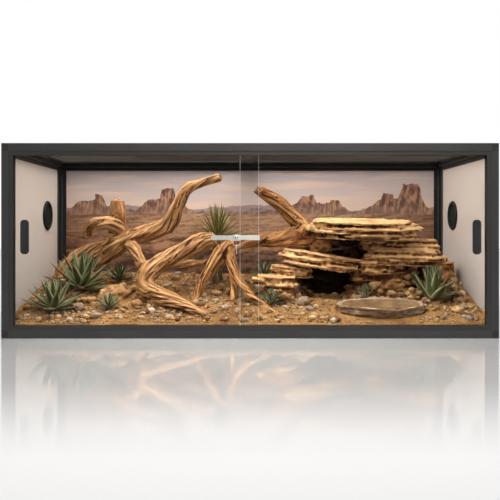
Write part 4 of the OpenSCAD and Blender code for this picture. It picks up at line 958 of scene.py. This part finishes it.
def sand_height(x, y):
    """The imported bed's own height at x, y."""
    back = np.clip((y - front_y - 0.024) / room_depth, 0, 1)
    ridge = rear_rise - side_drop * (1 - (x / room_half) ** 2)
    ripple = np.sin(np.radians(1300 * x + 40)) * np.sin(np.radians(1900 * y))
    return front_level + ridge * back ** 0.78 + 0.003 * back * ripple


def bed_height(x, y):
    """The visible bed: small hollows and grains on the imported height, and the dish's pocket."""
    flat = np.stack([x, y, np.zeros_like(x)], axis=1)
    grain = 0.0018 * noise(flat, 0.045, 201) + 0.0011 * noise(flat, 0.016, 202) + 0.0006 * noise(flat, 0.007, 203)
    pocket = np.interp(dish_inset(x, y), [-0.007, -0.004, 0.008, 0.022], [0.16, 0.082, 0.063, 0.0515])
    hollow = (step_up(x, *burrow_left) * step_up(-x, *burrow_right) * step_up(y, *burrow_mouth))
    return np.minimum(sand_height(x, y) + grain - 0.0008 - burrow_depth * hollow, pocket)


columns = int((sand_high.x - sand_low.x) / sand_cell)
rows = int((sand_high.y - sand_low.y) / sand_cell)
grid_x, grid_y = np.meshgrid(np.linspace(sand_low.x, sand_high.x, columns),
                             np.linspace(sand_low.y, sand_high.y, rows), indexing="ij")
top = np.stack([grid_x.ravel(), grid_y.ravel(), bed_height(grid_x.ravel(), grid_y.ravel())], axis=1)
order = np.arange(columns * rows).reshape(columns, rows)
quads = np.stack([order[:-1, :-1], order[1:, :-1], order[1:, 1:], order[:-1, 1:]], axis=-1).reshape(-1, 4)
border = np.concatenate([order[:, 0], order[-1, 1:], order[-2::-1, -1], order[0, -2:0:-1]])
bottom = top[border].copy()
bottom[:, 2] = sand_low.z + 0.02
under = len(top) + np.arange(len(border))
skirt = np.stack([border, under, np.roll(under, -1), np.roll(border, -1)], axis=1)
hub = np.array([[0, (sand_low.y + sand_high.y) / 2, sand_low.z + 0.02]])
base = np.stack([under, np.full(len(under), len(top) + len(under)), np.roll(under, -1)], axis=1)
bed_mesh = bpy.data.meshes.new("sand_surface")
bed_mesh.from_pydata(np.concatenate([top, bottom, hub]).tolist(), [],
                     quads.tolist() + skirt.tolist() + base.tolist())
bed_mesh.shade_smooth()
bed = bpy.data.objects.new("sand_surface", bed_mesh)
bpy.context.scene.collection.objects.link(bed)

desert_sand, tree, output = blank("desert_sand")
patch = ramp(tree, specks(tree, 9, 4), [(0.35, (0.20, 0.10, 0.036)), (0.65, (0.38, 0.215, 0.083))])
grains = node(tree, "ShaderNodeTexVoronoi", {"Vector": object_place(tree), "Scale": 420.0}).outputs["Color"]
grain_tone = ramp(tree, grains, [(0.1, (0.42, 0.3, 0.22)), (0.45, (0.95, 0.9, 0.84)), (0.9, (1.25, 1.2, 1.1))])
tone = mixed(tree, 0.75, patch, grain_tone, "MULTIPLY")
surface = node(tree, "ShaderNodeBsdfPrincipled", {
    "Base Color": tone, "Roughness": 0.95, "Specular IOR Level": 0.15,
    "Normal": bumps(tree, specks(tree, 650, 4, 0.7), 0.0016)})
tree.links.new(surface.outputs[0], output.inputs["Surface"])
stands_for(bed, "sand_bed", desert_sand)

# Gravel: thousands of small stones pressed into the sand, thick round the rocks and the wood.
# Each is a squashed, twisted ball of few faces with its own tone.
chaos = np.random.default_rng(77)


def ball(rings, sides):
    """A low ball as points and triangles, flat poles up and down."""
    points = [(0, 0, -1)]
    for r in range(1, rings):
        tilt = math.pi * (r / rings - 0.5)
        for k in range(sides):
            turn = 2 * math.pi * (k + 0.5 * (r % 2)) / sides
            points.append((math.cos(tilt) * math.cos(turn), math.cos(tilt) * math.sin(turn), math.sin(tilt)))
    points.append((0, 0, 1))
    faces = []
    for k in range(sides):
        m = (k + 1) % sides
        faces.append((0, 1 + m, 1 + k))
        for r in range(rings - 2):
            a, b = 1 + r * sides, 1 + (r + 1) * sides
            faces += [(a + k, a + m, b + m), (a + k, b + m, b + k)]
        last = 1 + (rings - 2) * sides
        faces.append((last + k, last + m, len(points) - 1))
    return np.array(points), np.array(faces)


def scattered(name, count, sizes, shape, bury, crowding):
    """Stones of one class of size over the bed; crowding is how much more lie by rock and wood."""
    points, faces = ball(*shape)
    edge = 0.002 + sizes[1] / 2
    x = chaos.uniform(sand_low.x + edge, sand_high.x - edge, count * 3)
    y = sand_low.y + edge + (sand_high.y - sand_low.y - 2 * edge) * chaos.random(count * 3) ** 1.3
    flat = np.stack([x, y, np.zeros_like(x)], axis=1)
    size = sizes[0] + (sizes[1] - sizes[0]) * chaos.random(len(x)) ** 2.2
    chance = 0.35 + crowding * step_up(noise(flat, 0.13, 301), -0.3, 0.5)
    keep = (chaos.random(len(x)) < chance) & (dish_inset(x, y) < -0.008 - size / 2)
    x, y, size = x[keep][:count], y[keep][:count], size[keep][:count]
    squash = np.stack([np.ones(len(x)), chaos.uniform(0.62, 0.95, len(x)), chaos.uniform(0.4, 0.68, len(x))], axis=1)
    dents = 1 + chaos.uniform(-0.17, 0.17, (len(x), len(points), 1))
    local = points[None] * dents * squash[:, None] * (size / 2)[:, None, None]
    turn = chaos.uniform(0, 2 * math.pi, len(x))[:, None]
    lean = chaos.uniform(-0.3, 0.3, len(x))[:, None]
    lx, ly, lz = local[..., 0], local[..., 1], local[..., 2]
    lx, lz = lx * np.cos(lean) + lz * np.sin(lean), lz * np.cos(lean) - lx * np.sin(lean)
    places = np.stack([
        x[:, None] + lx * np.cos(turn) - ly * np.sin(turn),
        y[:, None] + lx * np.sin(turn) + ly * np.cos(turn),
        bed_height(x, y)[:, None] + lz + (squash[:, 2] * size * (0.5 - bury))[:, None]], axis=2)
    made = joined(name, *copies_of(points, faces, places), smooth=False)
    store(made.data, "tone", np.repeat(chaos.random(len(x)), len(points)))
    return made


gravel_stone, tree, output = blank("gravel_stone")
tone = ramp(tree, attribute(tree, "tone"), [
    (0.0, (0.13, 0.062, 0.025)), (0.2, (0.32, 0.165, 0.066)), (0.45, (0.48, 0.28, 0.12)),
    (0.68, (0.60, 0.42, 0.235)), (0.82, (0.30, 0.225, 0.18)), (0.92, (0.33, 0.27, 0.245)), (1.0, (0.64, 0.51, 0.36))])
vein = ramp(tree, specks(tree, 90, 4), [(0.38, (0.62, 0.54, 0.46)), (0.6, (1, 1, 1))])
tone = mixed(tree, 0.6, tone, vein, "MULTIPLY")
surface = node(tree, "ShaderNodeBsdfPrincipled", {
    "Base Color": tone, "Roughness": 0.8, "Specular IOR Level": 0.3,
    "Normal": bumps(tree, specks(tree, 700, 3, 0.65), 0.0005)})
tree.links.new(surface.outputs[0], output.inputs["Surface"])

for name, count, sizes, shape, bury, crowding in [
        ("fine_gravel", 8800, (0.003, 0.0065), (3, 5), 0.25, 0.5),
        ("coarse_gravel", 2600, (0.006, 0.016), (5, 7), 0.25, 0.9),
        ("cobbles", 420, (0.014, 0.034), (5, 8), 0.28, 1.0)]:
    stones = scattered(name, count, sizes, shape, bury, crowding)
    stones.data.materials.append(gravel_stone)
    stones.data.shade_smooth()
    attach(stones, "root")

# Rubble: broken stones heaped against the feet of the ledge and along the right wall.
# They lie where a heap's middle is nearest, higher up the closer they are to it.
heaps = [(0.700, -0.010, 0.060, 0.075, 0.055, 60), (0.560, -0.070, 0.120, 0.030, 0.035, 46),
         (0.430, -0.045, 0.070, 0.035, 0.050, 30), (0.100, -0.090, 0.080, 0.030, 0.040, 26),
         (0.560, 0.020, 0.110, 0.050, 0.110, 30), (0.160, 0.090, 0.060, 0.040, 0.060, 16),
         (-0.690, 0.110, 0.040, 0.080, 0.030, 26), (-0.545, -0.110, 0.060, 0.040, 0.020, 16),
         (-0.400, 0.010, 0.060, 0.050, 0.030, 18), (-0.140, 0.000, 0.080, 0.040, 0.030, 20),
         (0.578, 0.110, 0.055, 0.030, 0.085, 26)]
points, faces = ball(5, 8)
places, tones = [], []
for middle_x, middle_y, half_x, half_y, rise, count in heaps:
    for _ in range(count):
        off = np.clip(chaos.normal(0, 0.5, 2), -1, 1)
        x = min(middle_x + half_x * off[0], sand_high.x - 0.024)
        y = middle_y + half_y * off[1]
        size = chaos.uniform(0.014, 0.044)
        if dish_inset(x, y) > -0.012 - size / 2:
            continue
        z = float(bed_height(np.array([x]), np.array([y]))[0]) + rise * max(0.0, 1 - np.hypot(*off)) * chaos.random()
        local = points * (1 + chaos.uniform(-0.2, 0.2, (len(points), 1))) * [1, chaos.uniform(0.6, 0.9), 0.55] * size / 2
        turn = chaos.uniform(0, 2 * math.pi)
        spun = np.stack([local[:, 0] * math.cos(turn) - local[:, 1] * math.sin(turn),
                         local[:, 0] * math.sin(turn) + local[:, 1] * math.cos(turn),
                         local[:, 2] + chaos.uniform(-0.2, 0.2) * local[:, 0]], axis=1)
        places.append(spun + [x, y, z + 0.12 * size])
        tones.append(np.full(len(points), 0.62 * chaos.random()))
rubble = joined("rubble", *copies_of(points, faces, np.array(places)), smooth=True)
store(rubble.data, "tone", np.concatenate(tones))
rubble.data.materials.append(gravel_stone)
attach(rubble, "root")

# Succulents: rosettes of thick keeled leaves, turned by the golden angle from a low outer whorl to
# an upright heart. Leaves pale towards their margins and end in a dry brown spine.
golden_turn = math.pi * (3 - math.sqrt(5))


def leaf(length, width, lift, curl, thick, taper, runs=9):
    """Points and faces of one leaf along +X, with how far along and how near the margin each is."""
    share = np.linspace(0, 1, runs)
    angle = lift + curl * share
    spine = np.zeros((runs, 3))
    spine[1:, 0] = np.cumsum(np.cos(angle[:-1])) * length / (runs - 1)
    spine[1:, 2] = np.cumsum(np.sin(angle[:-1])) * length / (runs - 1)
    half = width / 2 * (0.7 + 0.7 * share) * (1 - share ** taper) + 0.00025
    half /= half.max() / (width / 2)
    ups = np.stack([-np.sin(angle), np.zeros(runs), np.cos(angle)], axis=1)
    rims = np.array([(1.0, 0.16, 1), (0.5, -0.02, 0.35), (0, -0.1, 0), (-0.5, -0.02, 0.35), (-1.0, 0.16, 1),
                     (-0.55, -0.55, 0.4), (0, -1.0, 0), (0.55, -0.55, 0.4)])
    body = spine[:, None] + ups[:, None] * (rims[:, 1:2] * half[:, None, None] * thick)
    body[:, :, 1] += rims[:, 0] * half[:, None]
    tip = spine[-1] + np.array([math.cos(angle[-1]), 0, math.sin(angle[-1])]) * length * 0.04
    points = np.concatenate([body.reshape(-1, 3), tip[None], spine[:1]])
    around = len(rims)
    faces = []
    for k in range(around):
        m = (k + 1) % around
        for r in range(runs - 1):
            faces += [(r * around + k, r * around + m, (r + 1) * around + m),
                      (r * around + k, (r + 1) * around + m, (r + 1) * around + k)]
        faces.append(((runs - 1) * around + k, (runs - 1) * around + m, runs * around))
        faces.append((runs * around + 1, m, k))
    along = np.concatenate([np.repeat(share, around), [1.04, 0]])
    margin = np.concatenate([np.tile(rims[:, 2], runs), [1, 0]])
    return points, np.array(faces), along, margin


def rosettes(name, source, finish, plants):
    """All the leaves of a node's plants; each plant gives its place, reach, leaves, shape and leans."""
    point_sets, face_sets, alongs, margins, tones, total = [], [], [], [], [], 0
    for plant in plants:
        count = plant["leaves"]
        root = np.array([plant["x"], plant["y"], float(sand_height(plant["x"], plant["y"])) + plant.get("up", 0.004)])
        for k in range(count):
            age = 1 - k / count
            turn = k * golden_turn + chaos.uniform(-0.12, 0.12)
            lift = math.radians(plant["low"] + (plant["high"] - plant["low"]) * (1 - age) ** 1.15
                                + chaos.uniform(-5, 5))
            for side, raised, narrow in plant.get("raised", []):
                lean = max(0, math.cos(turn - math.radians(side))) ** narrow
                lift = min(math.radians(86), lift + math.radians(raised) * lean * math.cos(lift))
            length = plant["reach"] * (plant["young"] + (1 - plant["young"]) * min(1, 2.2 * age)) * chaos.uniform(0.92, 1.0)
            curl = math.radians(plant["curl"]) * chaos.uniform(0.4, 1.1)
            points, faces, along, margin = leaf(
                length, plant["width"] * (0.7 + 0.3 * age), lift, curl, plant["thick"], plant["taper"])
            roll = chaos.uniform(-0.25, 0.25)
            y, z = points[:, 1].copy(), points[:, 2].copy()
            points[:, 1] = y * math.cos(roll) - z * math.sin(roll) * 0.3
            points[:, 2] = z + y * math.sin(roll)
            points[:, 0] += plant["crown"] * age
            spun = points.copy()
            spun[:, 0] = points[:, 0] * math.cos(turn) - points[:, 1] * math.sin(turn)
            spun[:, 1] = points[:, 0] * math.sin(turn) + points[:, 1] * math.cos(turn)
            spun[:, 2] += plant["crown"] * 1.4 * (1 - age)
            point_sets.append(spun + root)
            face_sets.append(faces + total)
            alongs.append(along)
            margins.append(margin)
            tones.append(np.full(len(along), chaos.random()))
            total += len(points)
    made = joined(name, np.concatenate(point_sets), np.concatenate(face_sets))
    store(made.data, "along", np.concatenate(alongs))
    store(made.data, "margin", np.concatenate(margins))
    store(made.data, "tone", np.concatenate(tones))
    stands_for(made, source, finish)
    return made


def leaf_finish(name, deep, fresh, rim, tip):
    made, tree, output = blank(name)
    body = ramp(tree, attribute(tree, "along"), [(0.0, rim), (0.18, fresh), (0.75, deep), (1.0, deep)])
    own = ramp(tree, attribute(tree, "tone"), [(0.0, (0.72, 0.72, 0.66)), (1.0, (1.15, 1.15, 1.1))])
    body = mixed(tree, 1.0, body, own, "MULTIPLY")
    edge = ramp(tree, attribute(tree, "margin"), [(0.3, (0, 0, 0)), (0.95, (0.9, 0.9, 0.9))])
    body = mixed(tree, edge, body, (*rim, 1))
    spine = ramp(tree, attribute(tree, "along"), [(0.93, (0, 0, 0)), (1.0, (1, 1, 1))])
    body = mixed(tree, spine, body, (*tip, 1))
    mottle = ramp(tree, specks(tree, 120, 3), [(0.35, (0.78, 0.8, 0.76)), (0.65, (1.08, 1.08, 1.05))])
    body = mixed(tree, 0.6, body, mottle, "MULTIPLY")
    surface = node(tree, "ShaderNodeBsdfPrincipled", {
        "Base Color": body, "Roughness": 0.5, "Specular IOR Level": 0.4,
        "Normal": bumps(tree, specks(tree, 700, 2), 0.0002)})
    tree.links.new(surface.outputs[0], output.inputs["Surface"])
    return made


agave_green = leaf_finish("agave_green", (0.06, 0.076, 0.032), (0.12, 0.14, 0.062), (0.44, 0.44, 0.25), (0.16, 0.08, 0.04))
yucca_green = leaf_finish("yucca_green", (0.15, 0.135, 0.04), (0.20, 0.19, 0.06), (0.50, 0.40, 0.17), (0.24, 0.13, 0.06))
yucca_place = (-0.122, 0.125)
yucca_stem = 0.170
agave_shape = {"leaves": 27, "low": 6, "high": 78, "curl": 6, "thick": 0.42, "taper": 1.7, "crown": 0.012,
               "young": 0.88}
rosettes("agave_leaves", "agaves", agave_green, [
    dict(agave_shape, x=-0.596, y=0.010, up=0.012, reach=0.136, width=0.036, raised=[(90, 28, 1)]),
    dict(agave_shape, x=-0.636, y=-0.184, reach=0.106, width=0.029, raised=[(90, 14, 1)]),
    dict(agave_shape, x=0.618, y=-0.088, reach=0.111, width=0.033, raised=[(90, 56, 1), (220, 60, 2)])])
small_shape = {"leaves": 26, "low": 8, "high": 78, "curl": 10, "thick": 0.45, "taper": 1.8, "crown": 0.006,
               "young": 0.85}
rosettes("small_rosettes", "small_succulents", agave_green, [
    dict(small_shape, x=-0.463, y=-0.164, reach=0.054, width=0.0115),
    dict(small_shape, x=-0.491, y=0.176, reach=0.066, width=0.012),
    dict(small_shape, x=0.054, y=0.226, reach=0.064, width=0.012),
    dict(small_shape, x=0.070, y=-0.118, reach=0.054, width=0.011),
    dict(small_shape, x=0.398, y=-0.056, reach=0.044, width=0.010, raised=[(90, 54, 1), (270, 54, 1)])])
rosettes("yucca_leaves", "yucca", yucca_green, [
    {"x": yucca_place[0], "y": yucca_place[1], "up": yucca_stem, "reach": 0.124, "width": 0.0135, "leaves": 76,
     "low": -14, "high": 84, "curl": 3, "thick": 0.4, "taper": 1.7, "crown": 0.010, "young": 0.96}])

# Yucca stem: a short trunk under a skirt of dead, folded leaves.
dead_leaves = leaf_finish("dead_leaves", (0.17, 0.095, 0.045), (0.28, 0.17, 0.085), (0.38, 0.27, 0.15), (0.12, 0.07, 0.035))
skirt_rows = 7
skirt_leaves = 11
point_sets, face_sets, alongs, total = [], [], [], 0
foot_z = float(sand_height(*yucca_place)) - 0.006
for row in range(skirt_rows):
    for k in range(skirt_leaves):
        points, faces, along, margin = leaf(
            yucca_stem / skirt_rows * 1.7, 0.010, math.radians(chaos.uniform(-84, -72)), 0.1, 0.5, 2.2, runs=5)
        turn = 2 * math.pi * (k + 0.5 * (row % 2)) / skirt_leaves + chaos.uniform(-0.15, 0.15)
        points[:, 0] += 0.012 - 0.004 * row / skirt_rows
        spun = points.copy()
        spun[:, 0] = points[:, 0] * math.cos(turn) - points[:, 1] * math.sin(turn) + yucca_place[0]
        spun[:, 1] = points[:, 0] * math.sin(turn) + points[:, 1] * math.cos(turn) + yucca_place[1]
        spun[:, 2] += foot_z + yucca_stem * (row + 1.6) / (skirt_rows + 0.6)
        point_sets.append(spun)
        face_sets.append(faces + total)
        alongs.append(along)
        total += len(points)
skirt = joined("yucca_skirt", np.concatenate(point_sets), np.concatenate(face_sets))
store(skirt.data, "along", np.concatenate(alongs))
store(skirt.data, "margin", np.zeros(total))
store(skirt.data, "tone", np.repeat(chaos.random(skirt_rows * skirt_leaves), total // (skirt_rows * skirt_leaves)))
skirt.data.materials.append(dead_leaves)
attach(skirt, "root")
